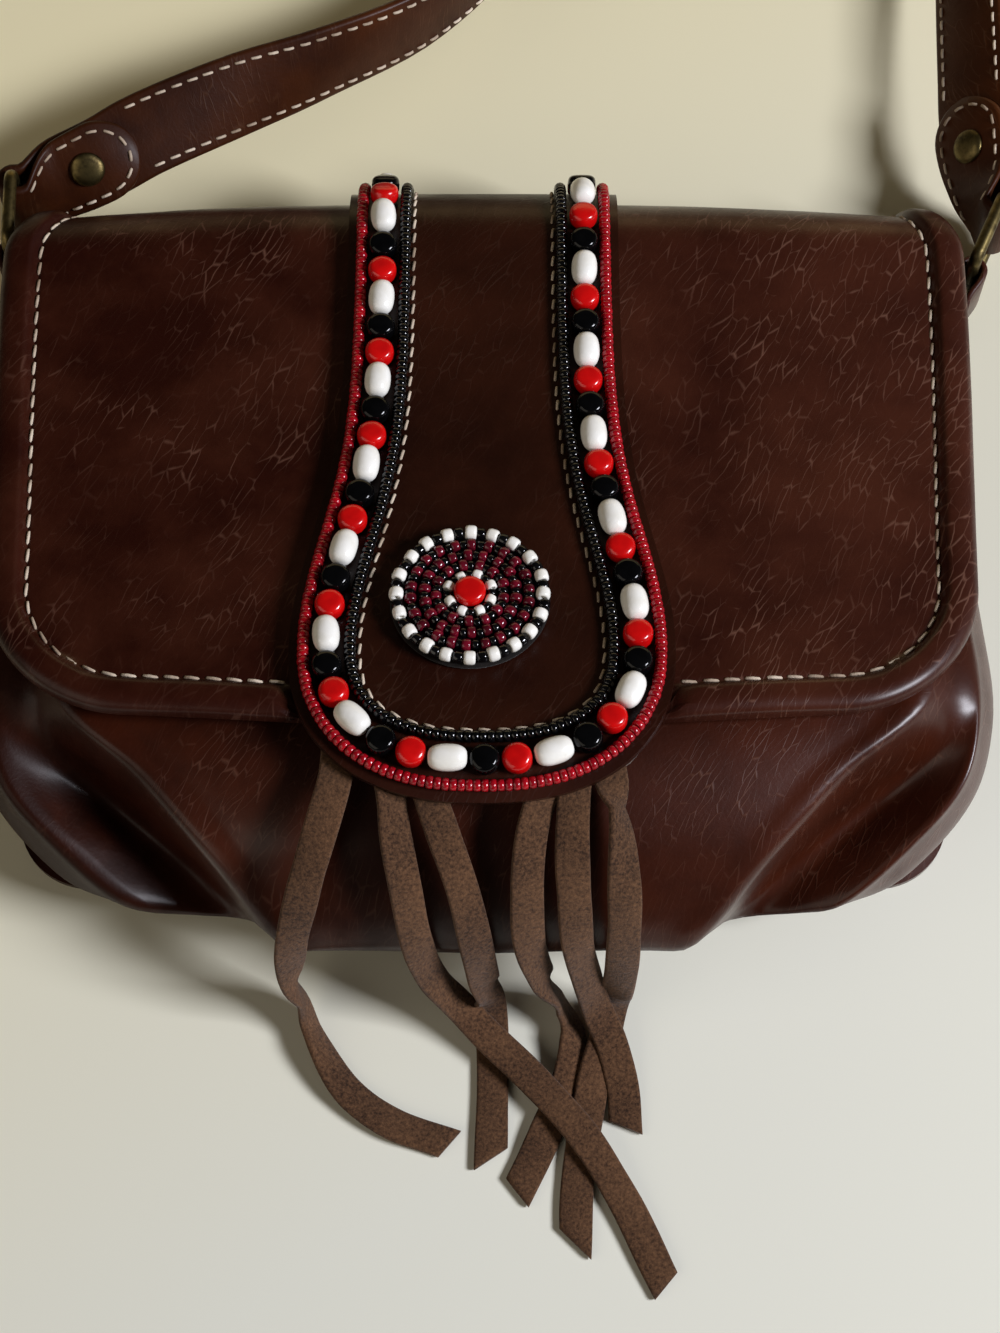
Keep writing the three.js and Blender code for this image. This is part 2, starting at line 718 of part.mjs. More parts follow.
function fringeStrip({ start, fall, lying }) {
  const controls = [
    onLeather(start, STRIP_START.along, STRIP_START.lift),
    ...STRIP_FALL.map(({ y, z }, row) => point(fall[row], y, z)),
    ...lying.map((place) => point(...place)),
  ];
  const curve = new THREE.CatmullRomCurve3(controls, false, "centripetal");
  const up = point(0, 0, 1);
  const rings = [];
  for (let station = 0; station <= STRIP.stations; station++) {
    const where = station / STRIP.stations;
    const middle = curve.getPointAt(where);
    const way = curve.getTangentAt(where);
    const across = way.clone().cross(up).normalize();
    const face = across.clone().cross(way).normalize();
    middle.z = Math.max(middle.z, STRIP.thickness / 2);
    rings.push(flatSection(middle, across, face, STRIP.width, STRIP.thickness));
  }
  return loft(rings);
}

// The four corners of a flat strip at one place.
function flatSection(middle, across, face, width, thickness) {
  return [[1, 1], [-1, 1], [-1, -1], [1, -1]].map(([side, top]) =>
    middle.clone().addScaledVector(across, (side * width) / 2).addScaledVector(face, (top * thickness) / 2),
  );
}

function fringe() {
  const strips = STRIPS.map((strip) => toSolid(fringeStrip(strip)));
  return toGeometry(strips.reduce((whole, strip) => whole.add(strip), toSolid(fringeHead())));
}

// Shoulder strap

function strapRoute() {
  const turn = [];
  for (let step = 0; step <= STRAP_TURN.steps; step++) {
    const angle = Math.PI * (1 - step / STRAP_TURN.steps);
    const x = STRAP_TURN.x + STRAP_TURN.radius * Math.cos(angle);
    const y = STRAP_TURN.y + STRAP_TURN.radius * Math.sin(angle);
    turn.push({ x, y, z: STRAP.width / 2, roll: 0 });
  }
  return [...STRAP_FROM_LEFT, ...turn, ...STRAP_TO_RIGHT];
}

const ROUTE = strapRoute();
const STRAP_LINE = new THREE.CatmullRomCurve3(
  ROUTE.map(({ x, y, z }) => point(x, y, z)),
  false,
  "centripetal",
);
const STRAP_ROLL = new THREE.CatmullRomCurve3(
  ROUTE.map(({ roll }) => point(degrees(roll), 0, 0)),
  false,
  "catmullrom",
);
STRAP_LINE.arcLengthDivisions = 1200;

// The strap at a distance from its left fold: its middle, its way, its inner face and its width.
function strapFrame(distance) {
  const where = STRAP_LINE.getUtoTmapping(distance / STRAP_LINE.getLength());
  const way = STRAP_LINE.getTangent(where);
  const inside = way.clone().cross(point(0, 0, 1)).normalize();
  const above = inside.clone().cross(way).normalize();
  const roll = STRAP_ROLL.getPoint(where).x;
  const face = inside.multiplyScalar(Math.cos(roll)).addScaledVector(above, Math.sin(roll));
  const across = face.clone().cross(way).normalize();
  return { middle: STRAP_LINE.getPoint(where), way, face, across };
}

const STRAP_END = { left: 0, right: STRAP_LINE.getLength() };
const FOLD_BEND = RING.wire / 2 + RING_TAB.bore + STRAP.thickness / 2;

// How far the folded end lies from the strap: wide at the ring's bar, close where it is riveted.
function endOffset(distance) {
  const close = STRAP.thickness + GAP;
  return lerp(FOLD_BEND * 2, close, smoothstep(distance, 0, STRAP.settle));
}

// Half of the strap's folded end and bend, from the rounded tip to the bar. Direction is 1 at the left ring.
function foldedEnd(origin, direction) {
  const sections = [];
  const section = (frame, middle, face, width) =>
    sections.push(flatSection(middle, frame.across, face, width, STRAP.thickness));
  const rounding = [0.04, 0.16, 0.4, 0.7, 1];
  const straight = [0.75, 0.5, 0.25, 0.08];
  const roundStart = STRAP.endLength - STRAP.endRound;
  for (const share of rounding) {
    const distance = STRAP.endLength - STRAP.endRound * share;
    const width = STRAP.width * Math.sqrt(1 - (1 - share) ** 2);
    const frame = strapFrame(origin + direction * distance);
    const middle = frame.middle.clone().addScaledVector(frame.face, endOffset(distance));
    section(frame, middle, frame.face, width);
  }
  for (const share of straight) {
    const distance = roundStart * share;
    const frame = strapFrame(origin + direction * distance);
    const middle = frame.middle.clone().addScaledVector(frame.face, endOffset(distance));
    section(frame, middle, frame.face, STRAP.width);
  }
  const frame = strapFrame(origin);
  const bar = frame.middle.clone().addScaledVector(frame.face, FOLD_BEND);
  for (let step = 0; step < STRAP_STEPS.fold; step++) {
    const angle = (Math.PI * step) / STRAP_STEPS.fold;
    const out = frame.face.clone().multiplyScalar(Math.cos(angle));
    out.addScaledVector(frame.way, -direction * Math.sin(angle));
    section(frame, bar.clone().addScaledVector(out, FOLD_BEND), out, STRAP.width);
  }
  return sections;
}

function shoulderStrap() {
  const length = STRAP_END.right;
  const near = STRAP_NEAR_RING.at(-1);
  const distances = [...STRAP_NEAR_RING];
  for (let step = 1; step < STRAP_STEPS.long; step++) {
    distances.push(lerp(near, length - near, step / STRAP_STEPS.long));
  }
  distances.push(...STRAP_NEAR_RING.toReversed().map((distance) => length - distance));
  const run = distances.map((distance) => {
    const frame = strapFrame(distance);
    const outwards = frame.face.clone().negate();
    return flatSection(frame.middle, frame.across, outwards, STRAP.width, STRAP.thickness);
  });
  const strap = loft([...foldedEnd(0, 1), ...run, ...foldedEnd(length, -1).toReversed()]);
  const holes = Object.values(RIVET_AT).map((distance) => {
    const hole = new THREE.CylinderGeometry(RIVET.bore, RIVET.bore, STRAP.thickness * 6, RIVET_SIDES.bore);
    return hole.applyMatrix4(rivetPlace(strapFrame(distance)));
  });
  return toGeometry(holes.reduce((whole, hole) => whole.subtract(toSolid(hole)), toSolid(strap)));
}

const RIVET_AT = { left: RIVET.distance, right: STRAP_END.right - RIVET.distance };

// A turn and a place that stand a round piece, whose own axis is +Y, on the strap.
function rivetPlace({ middle, way, face }) {
  const across = way.clone().cross(face);
  return new THREE.Matrix4().makeBasis(across.negate(), face, way).setPosition(middle);
}

// A rivet through the strap and its folded end, with a domed cap outside and a flat cap inside.
function rivet(distance) {
  const back = -STRAP.thickness / 2 - GAP - RIVET_SEAT;
  const front = STRAP.thickness * 1.5 + 2 * GAP + RIVET_SEAT;
  const profilePoints = [
    [0, back - RIVET_BACK.height],
    [RIVET_BACK.radius, back - RIVET_BACK.height],
    [RIVET_BACK.radius, back],
    [RIVET.post, back],
    [RIVET.post, front],
    [RIVET_CAP.radius, front],
    [RIVET_CAP.radius * 0.86, front + RIVET_CAP.height * 0.62],
    [RIVET_CAP.radius * 0.5, front + RIVET_CAP.height * 0.92],
    [0, front + RIVET_CAP.height],
  ].map(([radius, height]) => new THREE.Vector2(radius, height));
  const solid = new THREE.LatheGeometry(profilePoints, RIVET_SIDES.cap);
  return solid.applyMatrix4(rivetPlace(strapFrame(distance)));
}

// Rings and their loops on the bag

const BAR_SPACING = RING.insideLength + RING.wire;

// Where the two bars of a ring stand, seen from above: in the strap's fold and in the bag's loop.
function ringBars(sideName) {
  const { middle, face } = strapFrame(STRAP_END[sideName]);
  const strapBar = middle.clone().addScaledVector(face, FOLD_BEND);
  const x = RING_TAB.barX[sideName];
  const y = strapBar.y - Math.sqrt(BAR_SPACING ** 2 - (x - strapBar.x) ** 2);
  return { strapBar: new THREE.Vector2(strapBar.x, strapBar.y), bagBar: new THREE.Vector2(x, y) };
}

function ring(sideName) {
  const { strapBar, bagBar } = ringBars(sideName);
  const middle = point((strapBar.x + bagBar.x) / 2, (strapBar.y + bagBar.y) / 2, RING.height);
  const along = point(strapBar.x - bagBar.x, strapBar.y - bagBar.y, 0).normalize();
  const up = point(0, 0, 1);
  const out = along.clone().cross(up);
  const halfLength = BAR_SPACING / 2 - RING.corner;
  const halfWidth = (RING.insideWidth + RING.wire) / 2 - RING.corner;
  const rings = [];
  for (let corner = 0; corner < 4; corner++) {
    const lengthSign = corner === 0 || corner === 3 ? 1 : -1;
    const widthSign = corner < 2 ? 1 : -1;
    for (let step = 0; step <= RING_STEPS.corner; step++) {
      const angle = (Math.PI / 2) * (corner + step / RING_STEPS.corner);
      const radial = along.clone().multiplyScalar(Math.cos(angle)).addScaledVector(up, Math.sin(angle));
      const place = middle.clone().addScaledVector(along, lengthSign * halfLength);
      place.addScaledVector(up, widthSign * halfWidth).addScaledVector(radial, RING.corner);
      rings.push(
        Array.from({ length: RING_STEPS.round }, (_, index) => {
          const turn = (Math.PI * 2 * index) / RING_STEPS.round;
          const offset = radial.clone().multiplyScalar(Math.cos(turn)).addScaledVector(out, Math.sin(turn));
          return place.clone().addScaledVector(offset, RING.wire / 2);
        }),
      );
    }
  }
  return loft(rings, true);
}

// A leather loop round a ring's bar, with a doubled tail that lies on the side of the pouch.
function ringTab(sideName) {
  const bar = ringBars(sideName).bagBar;
  const tail = new THREE.Vector2(Math.sign(bar.x) * RING_TAB_TAIL.x, RING_TAB_TAIL.y);
  const way = tail.clone().sub(bar).normalize();
  const across = new THREE.Vector2(-way.y, way.x);
  const bore = RING.wire / 2 + RING_TAB.bore;
  const outside = bore + RING_TAB.loop;
  const half = RING_TAB.thickness / 2;
  const wrapFrom = Math.asin(half / outside);
  const wayAngle = Math.atan2(way.y, way.x);
  const outline = new THREE.Shape();
  outline.moveTo(tail.x - across.x * half, tail.y - across.y * half);
  outline.lineTo(tail.x + across.x * half, tail.y + across.y * half);
  outline.absarc(bar.x, bar.y, outside, wayAngle + wrapFrom, wayAngle - wrapFrom + Math.PI * 2);
  const hole = new THREE.Path();
  hole.absarc(bar.x, bar.y, bore, 0, Math.PI * 2, true);
  outline.holes.push(hole);
  const extrusion = { depth: RING_TAB.width, bevelEnabled: false, curveSegments: 10 };
  const loop = new THREE.ExtrudeGeometry(outline, extrusion);
  return loop.translate(0, 0, RING.height - RING_TAB.width / 2);
}

// The bag

function named(name, geometry, colour) {
  const mesh = new THREE.Mesh(geometry, new THREE.MeshStandardMaterial(colour));
  mesh.name = name;
  return mesh;
}

const bag = new THREE.Group();
bag.add(
  named("back_panel", backPanel(), COLOURS.leather),
  named("pouch_front", pouchFront(), COLOURS.leather),
  named("flap", flap(), COLOURS.leather),
  named("tab", tab(), COLOURS.leather),
  named("red_seed_string", seedString(ROW_INSET.redSeed), COLOURS.redBead),
  named("bead_string", beadString(), COLOURS.whiteBead),
  named("black_seed_string", seedString(ROW_INSET.blackSeed), COLOURS.blackBead),
  named("fringe", fringe(), COLOURS.suede),
  named("shoulder_strap", shoulderStrap(), COLOURS.strap),
);

const rosette = new THREE.Group();
const rosetteSeat = profile(ROSETTE.along);
rosette.position.copy(onLeather(ROSETTE.x, ROSETTE.along, TAB_TOP));
rosette.rotation.x = -Math.atan2(rosetteSeat.ny, rosetteSeat.nz);
rosette.add(
  named("rosette_backing", rosetteBacking(), COLOURS.leather),
  named("rosette_bead_field", rosetteBeadField(), COLOURS.garnetBead),
  named("rosette_center_bead", rosetteCenterBead(), COLOURS.redBead),
);
bag.add(rosette);

for (const sideName of ["left", "right"]) {
  bag.add(
    named(`ring_${sideName}`, ring(sideName), COLOURS.brass),
    named(`ring_tab_${sideName}`, ringTab(sideName), COLOURS.leather),
    named(`rivet_${sideName}`, rivet(RIVET_AT[sideName]), COLOURS.brass),
  );
}

export default bag;
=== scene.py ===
"""Looks of a beaded leather crossbody bag that lies on its back on a pale table.

Sizes are in millimetres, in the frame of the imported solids, and turn to metres where a mesh is made.
"""

import logging
import math
from dataclasses import dataclass, field
from enum import Enum
from functools import partial
from typing import Any, Sequence

import bmesh
import bpy
import numpy as np
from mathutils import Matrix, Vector, noise


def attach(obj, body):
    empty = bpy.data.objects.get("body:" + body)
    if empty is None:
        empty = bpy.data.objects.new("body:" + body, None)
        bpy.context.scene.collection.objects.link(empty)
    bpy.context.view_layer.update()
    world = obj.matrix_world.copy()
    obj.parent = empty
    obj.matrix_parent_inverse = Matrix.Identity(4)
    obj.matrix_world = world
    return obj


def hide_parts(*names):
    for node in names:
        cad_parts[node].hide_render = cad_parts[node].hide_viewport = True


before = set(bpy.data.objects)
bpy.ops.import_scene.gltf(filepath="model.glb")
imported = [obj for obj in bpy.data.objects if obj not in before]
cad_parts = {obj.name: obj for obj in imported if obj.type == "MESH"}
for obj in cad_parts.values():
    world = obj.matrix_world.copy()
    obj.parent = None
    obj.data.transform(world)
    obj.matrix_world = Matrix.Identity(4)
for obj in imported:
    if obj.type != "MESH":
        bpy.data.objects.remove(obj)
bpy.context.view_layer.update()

LOG = logging.getLogger("bag")
MM = 0.001  # metres
GAP = 0.3  # between two pieces that touch
TINY = 1e-8  # least length that is divided by
EDGE_SOFT = 0.8  # rounding of a band's edges, over half of its thickness
END_SOFT = 0.45  # the most of that rounding, over half of its width
NEARLY_CLOSED = 0.985  # how far a round end is followed before a flat face closes it
BEAD_SEAT = 0.05  # from the leather to a bead
UP = np.array([0.0, 0.0, 1.0])
CORNERS = ((1, 1), (-1, 1), (-1, -1), (1, -1))  # signs of a section's corners, in turn
Array = np.ndarray
Pair, Triple = tuple[float, float], tuple[float, float, float]
Tree, Node, Socket = bpy.types.NodeTree, bpy.types.Node, bpy.types.NodeSocket
BeadMesh = tuple[Array, list[tuple[int, ...]]]


class Side(Enum):
    """The two sides of the bag, as the sign of X."""

    LEFT = -1
    RIGHT = 1

    @property
    def word(self) -> str:
        """The side's name as it stands in the names of the solids."""
        return self.name.lower()


class Pace(Enum):
    """What sets the pace of a smooth line between two points, as a power of their distance squared."""

    EVEN = 0.0
    ROOT = 0.25
    DISTANCE = 0.5


class Slot(Enum):
    """Material slots of the record."""

    BAG_LEATHER = "bag_leather"
    STRAP_LEATHER = "strap_leather"
    SUEDE = "suede"
    RED_BEADS = "red_glass_beads"
    BLACK_BEADS = "black_glass_beads"
    LARGE_BEADS = "large_beads"
    GARNET_BEADS = "garnet_glass_beads"
    BRASS = "antique_brass"


def unit(vector: Array) -> Array:
    """Gives a vector of length 1 that points the same way."""
    return vector / np.linalg.norm(vector)


def smoothstep(value: float, low: float, high: float) -> float:
    """Gives a soft step from 0 at low to 1 at high."""
    share = min(1.0, max(0.0, (value - low) / (high - low)))
    return share * share * (3 - 2 * share)


def lerp(start: Any, end: Any, share: float) -> Any:
    """Gives the number or the point at a share of the way from start to end."""
    return start + (end - start) * share


def drift(x: float, y: float, size: float, seed: float = 0.0) -> float:
    """Gives a smooth, fixed unevenness from about -1 to 1 over a surface.

    Args:
        x: place on the surface, in millimetres.
        y: place on the surface, in millimetres.
        size: width of one swell, in millimetres.
        seed: another number gives another pattern.

    Returns:
        The height of the unevenness, to be scaled by its user.
    """
    return noise.noise(Vector((x / size + seed, y / size - seed, seed * 1.7)))


def linear(colour: str) -> tuple[float, float, float, float]:
    """Turns an sRGB hex colour to linear light.

    Args:
        colour: six hex digits after a hash sign.

    Returns:
        Red, green, blue and an alpha of 1.
    """
    parts = [int(colour[at : at + 2], 16) / 255 for at in (1, 3, 5)]
    red, green, blue = (c / 12.92 if c <= 0.04045 else ((c + 0.055) / 1.055) ** 2.4 for c in parts)
    return red, green, blue, 1.0


def per_metre(size_mm: float) -> float:
    """Gives a texture's scale for a pattern whose cells are this wide."""
    return 1 / (size_mm * MM)


# Finishes


MIX_SHARE, MIX_LOW, MIX_HIGH = 0, 6, 7  # sockets of a mix of two colours


def set_inputs(tree: Tree, node: Node, inputs: dict[str | int, Any]) -> None:
    """Sets and links a node's sockets.

    Args:
        tree: the material's node tree.
        node: the node whose sockets are meant.
        inputs: values by socket; a value that is a socket, or a node with one output in use, is linked.
    """
    for socket, value in inputs.items():
        if isinstance(value, Node):
            value = next(output for output in value.outputs if output.enabled)
        if isinstance(value, Socket):
            tree.links.new(value, node.inputs[socket])
        else:
            node.inputs[socket].default_value = value


def add_node(tree: Tree, kind: str, inputs: dict[str | int, Any] | None = None, **settings: Any) -> Node:
    """Adds a node with its settings and links.

    Args:
        tree: the material's node tree.
        kind: Blender's name of the node, without the word ShaderNode.
        inputs: values by socket, as set_inputs takes them.
        settings: the node's own options.

    Returns:
        The new node.
    """
    made = tree.nodes.new(f"ShaderNode{kind}")
    for name, value in settings.items():
        setattr(made, name, value)
    set_inputs(tree, made, inputs or {})
    return made


def add_blend(tree: Tree, value: Any, low: tuple[float, str], high: tuple[float, str]) -> Node:
    """Adds what blends two colours by a value.

    Args:
        tree: the material's node tree.
        value: the socket or node that gives the value.
        low: a value, and the colour up to it.
        high: a greater value, and the colour from it on.

    Returns:
        The node that gives the colour.
    """
    share = add_node(tree, "MapRange", {"Value": value, "From Min": low[0], "From Max": high[0]})
    colours = {MIX_LOW: linear(low[1]), MIX_HIGH: linear(high[1])}
    return add_node(tree, "Mix", {MIX_SHARE: share, **colours}, data_type="RGBA")


@dataclass(frozen=True)
class Finish:
    """A surface: a real material and the way it was made."""

    name: str
    slot: Slot | None

    def material(self) -> bpy.types.Material:
        """Gives the finish's material and makes it on first use."""
        return bpy.data.materials.get(self.name) or self.make()

    def make(self) -> bpy.types.Material:
        """Makes the material and has the finish paint it."""
        made = bpy.data.materials.new(self.name)
        made.use_nodes = True
        tree = made.node_tree
        tree.nodes.clear()
        shader = add_node(tree, "BsdfPrincipled")
        add_node(tree, "OutputMaterial", {"Surface": shader})
        self.paint(tree, shader)
        return made

    def paint(self, tree: Tree, shader: Node) -> None:
        """Sets the shader's sockets; each kind of finish has its own way."""
        raise NotImplementedError


@dataclass(frozen=True)
class WaxedLeather(Finish):
    """Drum-dyed cowhide with a waxed, polished face.

    The eye sees an uneven dark red-brown with a soft gloss, and fine paler lines where the face has creased.
    The lines are pale partly from wax pulled up there and partly as painted highlight on their ridges. They
    are the edges of long cells, broken up in places, and drawn about twice as wide as they are, to show at
    all. The right side has more polish and more of the pale lines, and a warmer tone that is painted light
    from the window on that side.

    Attributes:
        crease_mm: width of the cells; crease_stretch is their length over it, crease_angle their lean.
        crease_width: where a line ends, from a cell's edge, as a share of a cell.
        crease_and_highlight_share: strength of the lines' pale colour, which is in part painted highlight.
        break_mm, patch_mm: size of the gaps in the lines, and of the places with more of them.
        sway, warp: how far the slow and the small bends of the lines reach, in metres.
        wear_and_light_slope: for each metre to the right, how much the polish and the pale lines grow, and
            how much warmer the tone grows as painted light.
    """

    deep: str = "#250803"
    warm: str = "#411d11"
    # Pale colour of the crease lines, partly painted highlight on their ridges
    crease: str = "#755243"
    roughness: float = 0.42
    coat: float = 0.45
    coat_roughness: float = 0.3
    crease_mm: float = 1.8
    crease_width: float = 0.12
    crease_stretch: float = 4.2
    crease_angle: float = -28.0
    crease_and_highlight_share: float = 0.62
    break_mm: float = 3.4
    patch_mm: float = 34.0
    sway_mm: float = 48.0
    sway: float = 0.012
    warp_mm: float = 6.0
    warp: float = 0.0013
    mottle_mm: float = 42.0
    grain_mm: float = 0.9
    wear_and_light_slope: float = 0.95

    def paint(self, tree: Tree, shader: Node) -> None:
        """Paints mottled dye, light to the right, creases in patches with painted highlight, grain and
        polish.
        """
        add = partial(add_node, tree)
        where = add("TexCoord").outputs["Object"]
        side = add("SeparateXYZ", {"Vector": where}).outputs["X"]
        clouds = {"Vector": where, "Scale": per_metre(self.mottle_mm), "Detail": 5.0, "Roughness": 0.62}
        mottle = add("TexNoise", clouds).outputs["Fac"]
        # Polish, pale lines and a warmer tone that paints the window's light all grow to the right
        worn_and_lit = add("Math", {0: side, 1: self.wear_and_light_slope, 2: mottle}, operation="MULTIPLY_ADD")
        tone = add_blend(tree, worn_and_lit, (0.34, self.deep), (0.68, self.warm))
        creased = self.creases(tree, where, side)
        faint = add("Math", {0: creased, 1: self.crease_and_highlight_share}, operation="MULTIPLY")
        # Pale crease lines, partly painted highlight on their ridges, laid over the tone
        colours = {MIX_LOW: tone, MIX_HIGH: linear(self.crease)}
        colour = add("Mix", {MIX_SHARE: faint, **colours}, data_type="RGBA")
        gloss = {"To Min": self.roughness + 0.08, "To Max": self.roughness - 0.05}
        polish = {"To Min": self.coat * 0.25, "To Max": self.coat * 1.4}
        pores = {"Vector": where, "Scale": per_metre(self.grain_mm), "Detail": 2.0, "Roughness": 0.55}
        grain = add("TexNoise", pores).outputs["Fac"]
        height = add("Math", {0: grain, 1: 0.6, 2: creased}, operation="MULTIPLY_ADD")
        looks = {
            "Base Color": colour,
            "Roughness": add("MapRange", {"Value": mottle, "From Min": 0.3, "From Max": 0.7, **gloss}),
            "Normal": add("Bump", {"Strength": 0.24, "Distance": 0.0005, "Height": height}),
            "IOR": 1.5,
            "Specular IOR Level": 0.1,
            "Coat Weight": add("MapRange", {"Value": worn_and_lit, "From Min": 0.36, "From Max": 0.66, **polish}),
            "Coat Roughness": self.coat_roughness,
        }
        set_inputs(tree, shader, looks)

    def creases(self, tree: Tree, where: Socket, side: Socket) -> Node:
        """Draws the creases, whose pale lines are partly painted highlight.

        Args:
            tree: the material's node tree.
            where: the place on the leather.
            side: how far to the right that is.

        Returns:
            A node that gives up to 1 on a crease and 0 beside it.
        """
        add = partial(add_node, tree)
        bent = where
        for size_mm, detail, reach in ((self.sway_mm, 1.0, self.sway), (self.warp_mm, 2.0, self.warp)):
            bends = add("TexNoise", {"Vector": where, "Scale": per_metre(size_mm), "Detail": detail})
            pushes = {0: bends.outputs["Color"], 1: (reach,) * 3, 2: bent}
            bent = add("VectorMath", pushes, operation="MULTIPLY_ADD").outputs["Vector"]
        lean = {"Rotation": (0.0, 0.0, math.radians(self.crease_angle))}
        stretch = {"Scale": (1.0, self.crease_stretch, 1.4)}
        turned = add("Mapping", {"Vector": bent, **lean, **stretch}, vector_type="TEXTURE")
        edge = add(
            "TexVoronoi",
            {"Vector": turned, "Scale": per_metre(self.crease_mm)},
            feature="DISTANCE_TO_EDGE",
            voronoi_dimensions="2D",
        ).outputs["Distance"]
        gaps = {"Vector": turned, "Scale": per_metre(self.break_mm), "Detail": 2.0}
        whole = {"Value": add("TexNoise", gaps).outputs["Fac"], "From Min": 0.36, "From Max": 0.66}
        falls = {0: edge, 1: -1 / self.crease_width, 2: add("MapRange", whole)}
        lines = add("Math", falls, operation="MULTIPLY_ADD", use_clamp=True)
        patches = {"Vector": where, "Scale": per_metre(self.patch_mm), "Detail": 2.0}
        # Pale lines grow to the right, where they partly paint the window's highlight
        wear_and_light = {0: side, 1: self.wear_and_light_slope, 2: add("TexNoise", patches).outputs["Fac"]}
        worn_and_lit = {"Value": add("Math", wear_and_light, operation="MULTIPLY_ADD"), "From Min": 0.38, "From Max": 0.6}
        shown = add("MapRange", {**worn_and_lit, "To Min": 0.12, "To Max": 1.0})
        return add("Math", {0: lines, 1: shown}, operation="MULTIPLY")


@dataclass(frozen=True)
class SplitSuede(Finish):
    """Split hide with a brushed nap.

    The eye sees a matt brown with a speckled nap, darker where the fibres lie away.
    """

    dark: str = "#2a190e"
    pale: str = "#6d4d34"
    nap_mm: float = 0.8
    cloud_mm: float = 14.0

    def paint(self, tree: Tree, shader: Node) -> None:
        """Paints the speckle of the nap over a slow change of tone."""
        add = partial(add_node, tree)
        where = add("TexCoord").outputs["Object"]
        fibres = {"Vector": where, "Scale": per_metre(self.nap_mm), "Detail": 4.0, "Roughness": 0.7}
        nap = add("TexNoise", fibres).outputs["Fac"]
        clouds = {"Vector": where, "Scale": per_metre(self.cloud_mm), "Detail": 3.0}
        cloud = add("TexNoise", clouds).outputs["Fac"]
        speckle = add("Math", {0: cloud, 1: 0.35, 2: nap}, operation="MULTIPLY_ADD")
        looks = {
            "Base Color": add_blend(tree, speckle, (0.48, self.dark), (0.9, self.pale)),
            "Normal": add("Bump", {"Strength": 0.55, "Distance": 0.0006, "Height": nap}),
            "Roughness": 0.95,
            "Specular IOR Level": 0.2,
            "Sheen Weight": 0.12,
            "Sheen Roughness": 0.5,
        }
        set_inputs(tree, shader, looks)


@dataclass(frozen=True)
class PressedGlass(Finish):
    """Opaque glass beads, pressed or drawn and fire polished.

    The eye sees one clean deep colour with a small sharp highlight on each bead.
    """

    colour: str = "#a00b18"
    shade: str = "#6d0711"
    roughness: float = 0.14
    shine: float = 0.5
    batch_mm: float = 3.2
    dimple_mm: float = 1.6

    def paint(self, tree: Tree, shader: Node) -> None:
        """Paints a slight change of colour from bead to bead and a polished face."""
        add = partial(add_node, tree)
        where = add("TexCoord").outputs["Object"]
        batches = {"Vector": where, "Scale": per_metre(self.batch_mm), "Detail": 1.0}
        batch = add("TexNoise", batches).outputs["Fac"]
        dimples = {"Vector": where, "Scale": per_metre(self.dimple_mm), "Detail": 1.0}
        dimple = add("TexNoise", dimples).outputs["Fac"]
        looks = {
            "Base Color": add_blend(tree, batch, (0.35, self.shade), (0.65, self.colour)),
            "Normal": add("Bump", {"Strength": 0.12, "Distance": 0.0003, "Height": dimple}),
            "Roughness": self.roughness,
            "Specular IOR Level": self.shine,
            "IOR": 1.52,
        }
        set_inputs(tree, shader, looks)


@dataclass(frozen=True)
class AntiqueBrass(Finish):
    """Cast brass, darkened in a bath and rubbed back.

    The eye sees a dull olive metal, brown in patches and brighter where it is handled.
    """

    rubbed: str = "#8a7a4e"
    dark: str = "#3c3320"
    bath_mm: float = 5.0

    def paint(self, tree: Tree, shader: Node) -> None:
        """Paints patches of dark bath over rubbed metal."""
        add = partial(add_node, tree)
        where = add("TexCoord").outputs["Object"]
        stains = {"Vector": where, "Scale": per_metre(self.bath_mm), "Detail": 5.0, "Roughness": 0.65}
        bath = add("TexNoise", stains).outputs["Fac"]
        gloss = {"From Min": 0.3, "From Max": 0.7, "To Min": 0.52, "To Max": 0.32}
        looks = {
            "Base Color": add_blend(tree, bath, (0.36, self.dark), (0.66, self.rubbed)),
            "Roughness": add("MapRange", {"Value": bath, **gloss}),
            "Normal": add("Bump", {"Strength": 0.2, "Distance": 0.0003, "Height": bath}),
            "Metallic": 1.0,
        }
        set_inputs(tree, shader, looks)


@dataclass(frozen=True)
class WaxedThread(Finish):
    """Twisted linen thread drawn through wax.

    The eye sees cream-grey stitches, soiled in places, with the twist as a fine ripple.
    """

    clean: str = "#d8c7b1"
    soiled: str = "#97826d"
    soil_mm: float = 18.0
    twist_mm: float = 0.7

    def paint(self, tree: Tree, shader: Node) -> None:
        """Paints soil along the thread and the ripple of its twist."""
        add = partial(add_node, tree)
        where = add("TexCoord").outputs["Object"]
        stains = {"Vector": where, "Scale": per_metre(self.soil_mm), "Detail": 4.0}
        soil = add("TexNoise", stains).outputs["Fac"]
        twist = {"Vector": where, "Scale": per_metre(self.twist_mm), "Detail": 1.0}
        ply = add("TexNoise", twist).outputs["Fac"]
        looks = {
            "Base Color": add_blend(tree, soil, (0.38, self.soiled), (0.62, self.clean)),
            "Normal": add("Bump", {"Strength": 0.5, "Distance": 0.0003, "Height": ply}),
            "Roughness": 0.75,
        }
        set_inputs(tree, shader, looks)


